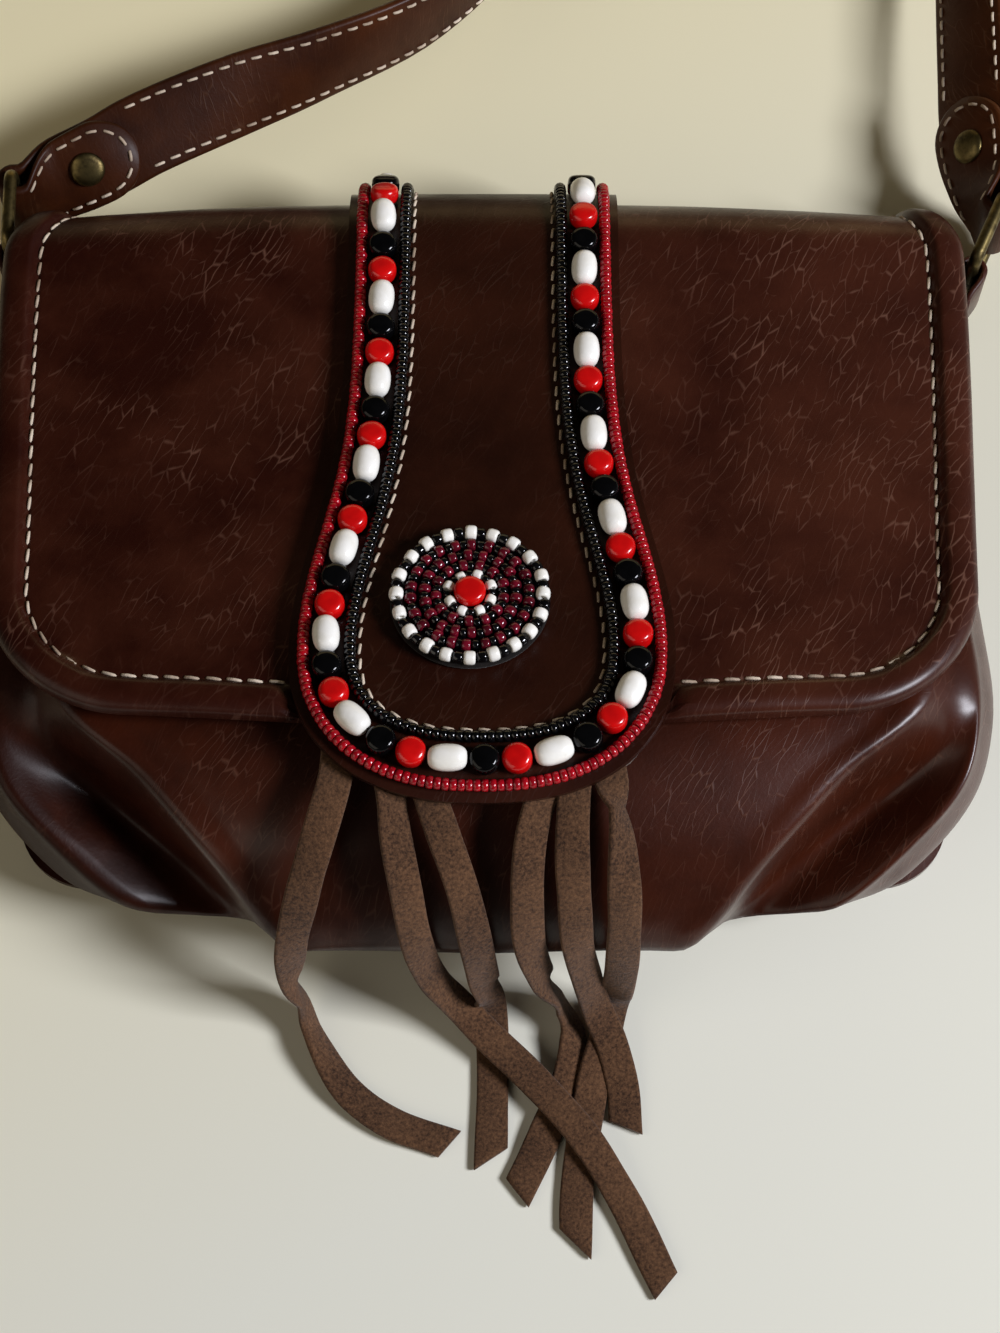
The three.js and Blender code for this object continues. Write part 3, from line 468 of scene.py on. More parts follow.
@dataclass(frozen=True)
class PaintedTable(Finish):
    """A painted board with a satin face.

    The eye sees a pale cream with hardly any gloss. Its tone is painted light: whiter towards the cool
    window at the front right, a warmer cream towards the warm-lit back left.

    Attributes:
        lean: share of Y over that of X in the way to the window.
    """

    pale: str = "#e6e5d6"
    warm_lit_cream: str = "#ece2ba"
    lean: float = -1.6

    def paint(self, tree: Tree, shader: Node) -> None:
        """Paints light as a slow change of the paint's tone across the board, whiter towards the window."""
        add = partial(add_node, tree)
        where = add("TexCoord").outputs["Object"]
        place = add("SeparateXYZ", {"Vector": where}).outputs
        # Painted light: warm cream at the back left, white towards the window at the front right
        slope = add("Math", {0: place["Y"], 1: self.lean, 2: place["X"]}, operation="MULTIPLY_ADD")
        colour = add_blend(tree, slope, (-0.32, self.warm_lit_cream), (0.22, self.pale))
        set_inputs(tree, shader, {"Base Color": colour, "Roughness": 0.6})


BAG_LEATHER = WaxedLeather("waxed_cowhide_polished", Slot.BAG_LEATHER)
TAB_LEATHER = WaxedLeather(
    "waxed_cowhide_smooth",
    Slot.BAG_LEATHER,
    deep="#1d0702",
    warm="#301207",
    crease="#53392d",
    crease_and_highlight_share=0.22,
)
POUCH_LEATHER = WaxedLeather(
    "waxed_cowhide_gathered",
    Slot.BAG_LEATHER,
    deep="#230a03",
    warm="#3f1809",
    crease="#6e4a3a",
    roughness=0.46,
    coat=0.46,
    coat_roughness=0.27,
    crease_mm=1.5,
    crease_and_highlight_share=0.34,
)
STRAP_LEATHER = WaxedLeather(
    "strap_cowhide_burnished",
    Slot.STRAP_LEATHER,
    deep="#280f04",
    warm="#452009",
    crease="#6b4a32",
    roughness=0.5,
    coat=0.15,
    crease_and_highlight_share=0.3,
    crease_angle=20.0,
)
SUEDE = SplitSuede("split_suede_brushed", Slot.SUEDE)
FELT = SplitSuede("black_felt_pressed", Slot.BAG_LEATHER, dark="#0b0908", pale="#1d1714")
RED_GLASS = PressedGlass("red_glass_drawn", Slot.RED_BEADS, "#a90b1a", "#8a0816", 0.2)
RED_COIN_GLASS = PressedGlass("red_glass_pressed", Slot.LARGE_BEADS, "#d20d0d", "#c00a0c", 0.2)
BLACK_GLASS = PressedGlass("black_glass_drawn", Slot.BLACK_BEADS, "#0b0b0d", "#050506", 0.12)
BLACK_COIN_GLASS = PressedGlass("black_glass_pressed", Slot.LARGE_BEADS, "#070708", "#040405", 0.12, 0.22)
WHITE_GLASS = PressedGlass("white_glass_pressed", Slot.LARGE_BEADS, "#f6f4ed", "#efece2", 0.24)
GARNET_GLASS = PressedGlass("garnet_glass_drawn", Slot.GARNET_BEADS, "#6e0f22", "#430a15")
BRASS = AntiqueBrass("antique_brass_rubbed", Slot.BRASS)
THREAD = WaxedThread("waxed_linen_thread", None)
TABLE = PaintedTable("painted_board_satin", None)


# Meshes


class MeshDraft:
    """Points in millimetres and faces that grow into one mesh."""

    def __init__(self) -> None:
        """Starts an empty draft."""
        self.points: list[Array] = []
        self.faces: list[tuple[int, ...]] = []
        self.total = 0

    def add(self, points: Array, faces: Sequence[Sequence[int]]) -> None:
        """Adds points and the faces between them.

        Args:
            points: one row for each point.
            faces: rows of numbers of those points.
        """
        base = self.total
        self.points.append(np.asarray(points, float))
        self.faces.extend(tuple(base + corner for corner in face) for face in faces)
        self.total += len(points)

    def sheet(self, outer: Array, inner: Array) -> None:
        """Adds a sheet with a thickness: two grids, joined round their edges.

        Args:
            outer: rows by columns of points of the outer face.
            inner: as many points of the inner face.
        """
        rows, columns = outer.shape[:2]

        def at(side: int, row: int, column: int) -> int:
            """Gives the number of a grid point."""
            return (side * rows + row) * columns + column

        faces: list[tuple[int, ...]] = []
        for row in range(rows - 1):
            for column in range(columns - 1):
                for side in (0, 1):
                    corners = [
                        at(side, row, column),
                        at(side, row, column + 1),
                        at(side, row + 1, column + 1),
                        at(side, row + 1, column),
                    ]
                    faces.append(tuple(corners if side == 0 else corners[::-1]))
        rim = [(0, column) for column in range(columns - 1)]
        rim += [(row, columns - 1) for row in range(rows - 1)]
        rim += [(rows - 1, column) for column in range(columns - 1, 0, -1)]
        rim += [(row, 0) for row in range(rows - 1, 0, -1)]
        for here, after in zip(rim, rim[1:] + rim[:1]):
            faces.append((at(0, *after), at(0, *here), at(1, *here), at(1, *after)))
        self.add(np.concatenate([outer.reshape(-1, 3), inner.reshape(-1, 3)]), faces)

    def loft(self, rings: Sequence[Array], closed: bool = False) -> None:
        """Adds a solid through rings with as many points each.

        Args:
            rings: the rings, in order.
            closed: whether the last ring joins the first one.
        """
        sides = len(rings[0])
        count = len(rings)
        faces: list[tuple[int, ...]] = []
        for ring in range(count if closed else count - 1):
            here, there = ring * sides, (ring + 1) % count * sides
            for side in range(sides):
                beside = (side + 1) % sides
                faces.append((here + side, here + beside, there + beside, there + side))
        if not closed:
            faces.append(tuple(range(sides))[::-1])
            faces.append(tuple((count - 1) * sides + side for side in range(sides)))
        self.add(np.concatenate(rings), faces)

    def build(
        self, name: str, finish: Finish, replaces: Sequence[str] = (), bevel: float = 0.0
    ) -> bpy.types.Object:
        """Makes the draft into a piece of the bag.

        Args:
            name: the piece's name.
            finish: its surface.
            replaces: the solids that it stands for.
            bevel: rounding of its sharp edges, in millimetres.

        Returns:
            The new object, which rides on the bag.
        """
        mesh = bpy.data.meshes.new(name)
        mesh.from_pydata((np.concatenate(self.points) * MM).tolist(), [], self.faces)
        work = bmesh.new()
        work.from_mesh(mesh)
        bmesh.ops.recalc_face_normals(work, faces=work.faces)
        work.to_mesh(mesh)
        work.free()
        mesh.polygons.foreach_set("use_smooth", [True] * len(mesh.polygons))
        piece = bpy.data.objects.new(name, mesh)
        bpy.context.scene.collection.objects.link(piece)
        mesh.materials.append(finish.material())
        if bevel:
            round_edges(piece, bevel)
        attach(piece, "root")
        if replaces:
            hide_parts(*replaces)
        LOG.info("%s: %d faces", name, len(self.faces))
        return piece


def round_edges(piece: bpy.types.Object, width: float, steps: int = 3, sharp: float = 50.0) -> None:
    """Rounds the sharp edges of a piece.

    Args:
        piece: a mesh object.
        width: how far the rounding reaches from an edge, in millimetres.
        steps: faces across the rounding.
        sharp: the turn from which an edge is sharp, in degrees.
    """
    bevel = piece.modifiers.new("rounded_edges", "BEVEL")
    bevel.width = width * MM
    bevel.segments = steps
    bevel.limit_method = "ANGLE"
    bevel.angle_limit = math.radians(sharp)


@dataclass
class SmoothLine:
    """A smooth line through control points.

    Attributes:
        controls: one row for each control point.
        pace: what sets the pace between two of them.
    """

    controls: Array
    pace: Pace = Pace.ROOT

    def at(self, share: float) -> Array:
        """Gives the point at a share of the stretches between control points.

        Args:
            share: 0 at the first control point, 1 at the last.

        Returns:
            The point on the line.
        """
        points = self.controls
        last = len(points) - 1
        place = min(max(share, 0.0), 1.0) * last
        start = min(int(place), last - 1)
        part = place - start
        near, far = points[start], points[start + 1]
        before = points[start - 1] if start > 0 else 2 * near - far
        after = points[start + 2] if start + 2 <= last else 2 * far - near
        chords = (near - before, far - near, after - far)
        d0, d1, d2 = (max(float(np.dot(chord, chord)), TINY) ** self.pace.value for chord in chords)
        leave = ((near - before) / d0 - (far - before) / (d0 + d1) + (far - near) / d1) * d1
        reach = ((far - near) / d1 - (after - near) / (d1 + d2) + (after - far) / d2) * d1
        bend = -3 * near + 3 * far - 2 * leave - reach
        twist = 2 * near - 2 * far + leave + reach
        return near + leave * part + bend * part**2 + twist * part**3

    def stations(self, steps: Sequence[int]) -> Array:
        """Gives points along the line.

        Args:
            steps: into how many steps each stretch between two control points is cut.

        Returns:
            One row for each point, the last control point included.
        """
        places = [stretch + step / count for stretch, count in enumerate(steps) for step in range(count)]
        return np.array([self.at(place / len(steps)) for place in places] + [self.controls[-1]])


@dataclass
class Track:
    """A line of close points that is read by its length.

    Attributes:
        points: one row for each point; further columns beyond x, y and z are carried along.
    """

    points: Array
    reach: Array = field(init=False)

    def __post_init__(self) -> None:
        """Measures the line."""
        gaps = np.linalg.norm(np.diff(self.points[:, :3], axis=0), axis=1)
        self.reach = np.concatenate([[0.0], np.cumsum(gaps)])

    @property
    def length(self) -> float:
        """The line's length."""
        return float(self.reach[-1])

    def at(self, distance: float) -> Array:
        """Gives the row at a distance from the start."""
        return np.array([np.interp(distance, self.reach, column) for column in self.points.T])

    def way(self, distance: float, span: float = 0.4) -> Array:
        """Gives the direction of the line at a distance from the start."""
        ahead = self.at(min(distance + span, self.length))[:3]
        behind = self.at(max(distance - span, 0.0))[:3]
        return unit(ahead - behind)


def ring_round(middle: Array, across: Array, face: Array, width: float, height: float, sides: int) -> Array:
    """Gives an elliptic ring of points.

    Args:
        middle: its centre.
        across: unit vector of its width.
        face: unit vector of its height.
        width: half of the width.
        height: half of the height.
        sides: number of points.

    Returns:
        One row for each point.
    """
    angles = np.arange(sides) * (2 * math.pi / sides)
    return middle + np.outer(np.cos(angles) * width, across) + np.outer(np.sin(angles) * height, face)


def band_section(middle: Array, across: Array, face: Array, width: float, thickness: float) -> Array:
    """Gives the outline of a flat band with rounded edges.

    Args:
        middle: its centre.
        across: unit vector of its width.
        face: unit vector of its thickness.
        width: the whole width.
        thickness: the whole thickness.

    Returns:
        Twelve points round the section.
    """
    half, thick = width / 2, thickness / 2
    soft = min(EDGE_SOFT * thick, END_SOFT * half)
    outline = []
    for turn, (sx, sy) in enumerate(CORNERS):
        for step in range(3):
            angle = math.pi / 2 * (turn + step / 2)
            x = sx * (half - soft) + soft * math.cos(angle)
            y = sy * (thick - soft) + soft * math.sin(angle)
            outline.append((x, y))
    return np.array([middle + across * x + face * y for x, y in outline])


@dataclass(frozen=True)
class Seam:
    """A row of saddle stitches.

    Attributes:
        pitch: from one stitch to the next.
        length, radius: of the thread that shows.
        slant: how far a stitch's ends lie beside the row.
        wander, beat: how far stitches are off their places, and how fast that changes.
        bow: share of a stitch's length, rise in diameters and size at each of its rings.
    """

    pitch: float = 5.0
    length: float = 4.1
    radius: float = 0.44
    slant: float = 0.22
    wander: float = 0.12
    beat: float = 2.3
    sides: int = 6
    bow: tuple[Triple, ...] = (
        (0.0, -0.4, 0.45),
        (0.12, 0.12, 0.95),
        (0.5, 0.3, 1.0),
        (0.88, 0.12, 0.95),
        (1.0, -0.4, 0.45),
    )

    def sew(self, draft: MeshDraft, places: Array, ups: Array) -> None:
        """Adds stitches along a row.

        Args:
            draft: the mesh that takes the stitches.
            places: close points along the row, on the leather.
            ups: the leather's outward direction at each point.
        """
        row = Track(np.hstack([places, ups]))
        count = int((row.length - self.length) / self.pitch)
        for stitch in range(count + 1):
            start = stitch * self.pitch + self.wander * math.sin(stitch * self.beat)
            rings = []
            for share, rise, size in self.bow:
                here = row.at(start + share * self.length)
                way = row.way(start + share * self.length)
                up = unit(here[3:6])
                beside = unit(np.cross(way, up))
                lean = (share - 0.5) * 2 * self.slant
                middle = here[:3] + up * (rise * self.radius * 2) + beside * lean
                radius = self.radius * size
                rings.append(ring_round(middle, beside, up, radius, radius, self.sides))
            draft.loft(rings)


# The leather's own surface


@dataclass(frozen=True)
class LeatherLie:
    """The surface that the flap, the tab and the beads share, seen from the side.

    It turns over the top of the bag on a round fold and then runs down the front.
    """

    fold_y: float = 88.7
    fold_z: float = 20.0
    fold_radius: float = 20.0
    front_angle: float = math.radians(84.3)
    rear_angle: float = math.radians(-90.0)
    front_length: float = 137.0
    swell: float = 0.00046
    droop: float = 0.0091
    crown_drop: float = 4.2
    crown_reach: float = 120.0
    crown_power: float = 2.5
    crown_from: float = -60.0
    crown_to: float = -20.0

    @property
    def fold_length(self) -> float:
        """Length of the leather on the fold."""
        return self.fold_radius * (self.front_angle - self.rear_angle)

    def profile(self, along: float) -> tuple[float, float, Array]:
        """Gives the side view at a distance along the leather.

        Args:
            along: from the front end of the fold; negative on the fold.

        Returns:
            Y, Z and the outward direction.
        """
        if along < 0:
            angle = self.front_angle + along / self.fold_radius
            out = np.array([0.0, math.cos(angle), math.sin(angle)])
            return self.fold_y + self.fold_radius * out[1], self.fold_z + self.fold_radius * out[2], out
        past = max(0.0, along - self.front_length)
        on = along - past
        first = 1 / math.tan(self.front_angle)
        slope = first + 2 * self.swell * on
        rise = (first + self.swell * on) * on + (slope - self.droop * past) * past
        steep = slope - 2 * self.droop * past
        out = unit(np.array([0.0, steep, 1.0]))
        start_y = self.fold_y + self.fold_radius * math.cos(self.front_angle)
        start_z = self.fold_z + self.fold_radius * math.sin(self.front_angle)
        return start_y - along, start_z + rise, out

    def at(self, x: float, along: float, lift: float) -> Array:
        """Gives a point over the leather.

        Args:
            x: sideways from the middle.
            along: distance along the leather.
            lift: height over its face.

        Returns:
            The point; the sides fall away from the middle.
        """
        y, z, out = self.profile(along)
        crown = self.crown_drop * smoothstep(along, self.crown_from, self.crown_to)
        fall = crown * (abs(x) / self.crown_reach) ** self.crown_power
        return np.array([x, y, z]) + out * (lift - fall)

    def out(self, along: float) -> Array:
        """Gives the outward direction at a distance along the leather."""
        return self.profile(along)[2]


LIE = LeatherLie()


# Pouch and flap


# Right half of each section: middle, ridge of the fold, tuck, ridge of the lobe, flank and rim.
POUCH_SECTIONS: dict[str, tuple[Triple, ...]] = {
    "mouth": (
        (0, 73, 36.4), (58, 73, 35.6), (64, 73, 34.4),
        (102, 73, 30), (112, 73, 19), (110, 73, 2.3),
    ),
    "waist": (
        (0, 35, 43.5), (82, 35, 40.8), (89, 35, 38.6),
        (107, 35, 35), (117.5, 35, 21), (113, 35, 2.3),
    ),
    "shoulder": (
        (0, -8, 51.6), (101, -8, 47.2), (108, -8, 44),
        (116.5, -8, 41), (124, -8, 24), (114, -8, 2.3),
    ),
    "crest": (
        (0, -36, 56.2), (106, -36, 51), (113, -37.5, 45),
        (119, -36.5, 42.5), (125, -36, 25), (114, -36, 2.3),
    ),
    "belly": (
        (0, -58, 56.4), (84, -57, 51.5), (94, -56, 27),
        (115.5, -53.5, 40), (121, -51, 23), (113, -48, 2.3),
    ),
    "brow": (
        (0, -77.5, 48), (67, -75, 45.5), (76, -69, 20),
        (102.5, -68.5, 32.5), (111, -64, 16.5), (110, -56, 2.3),
    ),
    "foot": (
        (0, -93, 26), (48, -92.5, 26.5), (59, -80.5, 9.5),
        (83, -80.5, 18), (98.5, -72.5, 10.5), (106, -61, 2.3),
    ),
    "seam": (
        (0, -67.5, 2.3), (46, -67.5, 2.3), (54, -67.5, 2.3),
        (80, -67, 2.3), (95, -65.5, 2.3), (102, -63.5, 2.3),
    ),
}


@dataclass
class Pouch:
    """The gathered front and sides of the pouch, and the flat back panel.

    Attributes:
        thickness: of the leather.
        left_folds: how far out the left fold lies, as a share of the right one.
        rim_height: of the leather's edge, on the back panel.
        back_rounding: of the back panel's edges.
        roll: how far inside a fold's ridge the panel starts to roll over.
        roll_swell: how much it stands up there.
        brink: how close to the ridge it is still level.
        lip: share of the way into the tuck on which the ridge's far side is straight.
        lobe_edge: the same beside a lobe's ridge, softer on the left.
        row_steps: steps between two sections.
        column_steps: steps from the middle outwards.
    """

    thickness: float = 1.8
    left_folds: float = 0.95
    rim_height: float = 2.3
    back_rounding: float = 0.6
    roll: float = 15.0
    roll_swell: float = 0.5
    brink: float = 8.0
    lip: float = 0.3
    lobe_edge: dict[Side, float] = field(default_factory=lambda: {Side.LEFT: 0.42, Side.RIGHT: 0.2})
    row_steps: int = 8
    column_steps: tuple[int, ...] = (10, 4, 3, 3, 6, 5, 3, 3, 5, 6)

    def half(self, name: str, side: Side) -> list[Array]:
        """Gives the control points of one half of a section, from the middle to the rim.

        Args:
            name: the section.
            side: which half, given as if on the right.

        Returns:
            The section's own points, and those close to its ridges that keep them crisp.
        """
        places = [np.array(place, float) for place in POUCH_SECTIONS[name]]
        middle, fold, tuck, lobe, flank, rim = places
        if side is Side.LEFT:
            fold[0] *= self.left_folds
            tuck[0] *= self.left_folds
        back = unit(middle - fold)
        roll = fold + back * self.roll
        roll[2] += 0 if name == "seam" else self.roll_swell
        brink = fold + back * self.brink
        lip = lerp(fold, tuck, self.lip)
        edge = self.lobe_edge[side]
        before, after = lerp(lobe, tuck, edge), lerp(lobe, flank, edge)
        return [middle, roll, brink, fold, lip, tuck, before, lobe, after, flank, rim]

    def grid(self) -> Array:
        """Gives the outer face as rows by columns of points."""
        mirror = np.array([-1.0, 1.0, 1.0])
        rows = []
        for name in POUCH_SECTIONS:
            right = self.half(name, Side.RIGHT)
            left = [place * mirror for place in self.half(name, Side.LEFT)]
            rows.append(left[:0:-1] + right)
        controls = np.array(rows)
        down = [self.row_steps] * (len(rows) - 1)
        lines = [SmoothLine(line, Pace.DISTANCE).stations(down) for line in controls.swapaxes(0, 1)]
        across = [*self.column_steps[::-1], *self.column_steps]
        return np.array([SmoothLine(np.array(row), Pace.DISTANCE).stations(across) for row in zip(*lines)])

    def inside(self, outer: Array) -> Array:
        """Gives the inner face.

        Args:
            outer: the outer face's grid.

        Returns:
            As many points, a leather's thickness inwards; the rim stays level on the back panel.
        """
        across = np.gradient(outer, axis=1)
        down = np.gradient(outer, axis=0)
        inward = np.cross(across, down)
        inward /= np.linalg.norm(inward, axis=2, keepdims=True)
        rim = np.zeros(outer.shape[:2], bool)
        rim[-1] = rim[:, 0] = rim[:, -1] = True
        flat = inward.copy()
        flat[..., 2] = 0
        flat /= np.maximum(np.linalg.norm(flat, axis=2, keepdims=True), TINY)
        inward = np.where(rim[..., None], flat, inward)
        inner = outer + inward * self.thickness
        inner[..., 2] = np.where(rim, self.rim_height, np.maximum(inner[..., 2], self.rim_height))
        return inner

    def build(self) -> None:
        """Builds the pouch front and dresses the back panel."""
        outer = self.grid()
        draft = MeshDraft()
        draft.sheet(outer, self.inside(outer))
        draft.build("pouch_front_leather", POUCH_LEATHER, ["pouch_front"])
        self.dress_back(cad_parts["back_panel"])

    def dress_back(self, panel: bpy.types.Object) -> None:
        """Gives the back panel its leather and rounded edges."""
        panel.data.materials.clear()
        panel.data.materials.append(BAG_LEATHER.material())
        round_edges(panel, self.back_rounding)


@dataclass
class Flap:
    """The flap, which turns over the top fold and ends in a padded hem.

    Attributes:
        tab: the tab that presses the hem flat.
        shoulder_from, shoulder_to: where along the leather the width grows.
        rise_from, rise_reach, rise_slope: how the lower edge rises towards the sides.
        hem_width: from the edge to the row of stitches.
        hem_inner, hem_outer: shares of the hem's width at which it has risen and starts to round down.
        hem_level: share of it, from the edge, that has close columns of points.
        tab_edge, hem_fade: how far from the tab the hem starts and is full.
        hem_from, hem_full: where along the leather it starts and is full.
        swells: height, width and seed of the unevenness, which grows over swell_sides and swell_top.
        rows, columns, seam_points: points of each stretch, as the methods name them.
    """

    tab: "Tab"
    thickness: float = 2.0
    rear_half: float = 115.0
    top_half: float = 123.0
    front_half: float = 118.5
    shoulder_from: float = -30.0
    shoulder_to: float = 3.0
    corner: float = 34.0
    rise_from: float = 42.0
    rise_reach: float = 90.0
    rise_slope: float = 0.075
    hem_width: float = 9.5
    hem_rise: float = 2.6
    hem_inner: float = 0.36
    hem_outer: float = 0.58
    hem_level: float = 0.68
    hem_beyond: float = 2.5
    tab_edge: float = 0.4
    hem_fade: float = 4.0
    hem_from: float = -36.0
    hem_full: float = -14.0
    groove: float = 0.7
    groove_inset: float = 0.6
    groove_width: float = 0.75
    swells: tuple[Triple, ...] = ((0.55, 46, 3.1), (0.22, 15, 7.7))
    swell_sides: Pair = (44, 60)
    swell_top: Pair = (-40, -5)
    rounding: float = 0.7
    rows: tuple[int, int, int] = (26, 44, 48)
    columns: tuple[int, int, int] = (8, 12, 60)
    seam_beyond: float = 0.1
    seam_from: float = -24.0
    seam_stop: float = 0.5
    seam_points: tuple[int, int, int] = (90, 24, 30)
    seam: Seam = Seam()

    def half_width(self, along: float) -> float:
        """Gives half of the flap's width at a distance along it."""
        shoulder = smoothstep(along, self.shoulder_from, self.shoulder_to)
        taper = smoothstep(along, self.shoulder_to, LIE.front_length)
        return lerp(self.rear_half, lerp(self.top_half, self.front_half, taper), shoulder)

    def corner_cut(self, along: float) -> float:
        """Gives how far the rounding of a corner cuts back the edge."""
        into = min(max(0.0, along - (LIE.front_length - self.corner)), self.corner)
        return self.corner - math.sqrt(self.corner**2 - into**2)

    def from_edge(self, x: float, along: float) -> float:
        """Gives the distance from the flap's edge."""
        sideways = abs(x) - (self.half_width(along) - self.corner)
        forward = along - (LIE.front_length - self.corner)
        reach = math.hypot(sideways, forward) if sideways > 0 and forward > 0 else max(sideways, forward)
        return self.corner - reach

    def at(self, x: float, along: float, lift: float) -> Array:
        """Gives a point over the flap, whose lower edge rises towards the sides.

        Args:
            x: sideways from the middle.
            along: distance along the leather, as if the lower edge were straight.
            lift: height over the leather's face.

        Returns:
            The point.
        """
        outside = max(0.0, abs(x) - self.rise_from)
        low = smoothstep(along, LIE.front_length - self.rise_reach, LIE.front_length)
        return LIE.at(x, along - self.rise_slope * outside * low, lift)

    def relief(self, x: float, along: float) -> float:
        """Gives the height of hem, groove and unevenness over the plain face.

        Args:
            x: sideways from the middle.
            along: distance along the leather.

        Returns:
            The height, which fades out under the tab and behind the fold.
        """
        inset = self.from_edge(x, along)
        share = min(max(1 - inset / self.hem_width, 0.0), 1.0)
        beside_tab = abs(x) - self.tab.half_width(along)
        clear = smoothstep(beside_tab, self.tab_edge, self.hem_fade)
        clear *= smoothstep(along, self.hem_from, self.hem_full)
        inner = math.sin(math.pi / 2 * min(1.0, share / self.hem_inner))
        outer = math.sqrt(1 - max(0.0, (share - self.hem_outer) / (1 - self.hem_outer)) ** 2)
        hem = self.hem_rise * inner * outer
        off_groove = (inset - self.hem_width + self.groove_inset) / self.groove_width
        groove = self.groove * math.exp(-(off_groove**2))
        swell = sum(height * drift(x, along, size, seed) for height, size, seed in self.swells)
        swell *= smoothstep(abs(x), *self.swell_sides)
        swell *= smoothstep(along, *self.swell_top)
        return clear * (hem - groove) + swell

    def grid(self, lift: float, relief: float) -> Array:
        """Gives one face of the flap.

        Args:
            lift: height over the leather's own surface.
            relief: share of the hem and unevenness that this face has.

        Returns:
            Rows by columns of points.
        """
        fold_rows, front_rows, corner_rows = self.rows
        edge_columns, hem_columns, middle_columns = self.columns
        straight = LIE.front_length - self.corner
        alongs = [*np.linspace(-LIE.fold_length, 0, fold_rows)[:-1]]
        alongs += [*np.linspace(0, straight, front_rows)[:-1]]
        turns = np.linspace(0, math.pi / 2, corner_rows)
        alongs += [straight + self.corner * math.sin(angle) for angle in turns]
        level = self.hem_width * self.hem_level
        rounding = level * (1 - np.cos(np.linspace(0, math.pi / 2, edge_columns)[:-1]))
        hem = np.array([*rounding, *np.linspace(level, self.hem_width + self.hem_beyond, hem_columns)])
        rows = []
        for along in alongs:
            edge = self.half_width(along) - self.corner_cut(along)
            inner = edge - hem[-1]
            xs = [*(hem - edge), *np.linspace(-inner, inner, middle_columns)[1:-1], *(edge - hem[::-1])]
            rows.append([self.at(x, along, lift + relief * self.relief(x, along)) for x in xs])
        return np.array(rows)

    def seam_row(self, side: Side) -> tuple[Array, Array]:
        """Gives the row of stitches of one side, from behind the top to the tab.

        Args:
            side: which side of the flap.

        Returns:
            Places on the leather and the outward directions.
        """
        side_points, turn_points, end_points = self.seam_points
        straight = LIE.front_length - self.corner
        inset = self.hem_width + self.seam_beyond
        turn = self.corner - inset
        alongs = np.linspace(self.seam_from, straight, side_points)
        row = [(self.half_width(along) - inset, along) for along in alongs]
        for angle in np.linspace(0, math.pi / 2, turn_points)[1:]:
            along = straight + turn * math.sin(angle)
            row.append((self.half_width(along) - self.corner + turn * math.cos(angle), along))
        last_x, last = row[-1]
        stop = self.tab.half_width(last) + self.seam_stop
        row += [(x, last) for x in np.linspace(last_x, stop, end_points)[1:]]
        places = [self.at(side.value * x, along, self.relief(x * side.value, along)) for x, along in row]
        return np.array(places), np.array([LIE.out(along) for _, along in row])

    def build(self) -> None:
        """Builds the flap and its stitching."""
        draft = MeshDraft()
        draft.sheet(self.grid(0.0, 1.0), self.grid(-self.thickness, 0.0))
        draft.build("flap_leather", BAG_LEATHER, ["flap"], bevel=self.rounding)
        stitches = MeshDraft()
        for side in Side:
            self.seam.sew(stitches, *self.seam_row(side))
        stitches.build("flap_stitches", THREAD)


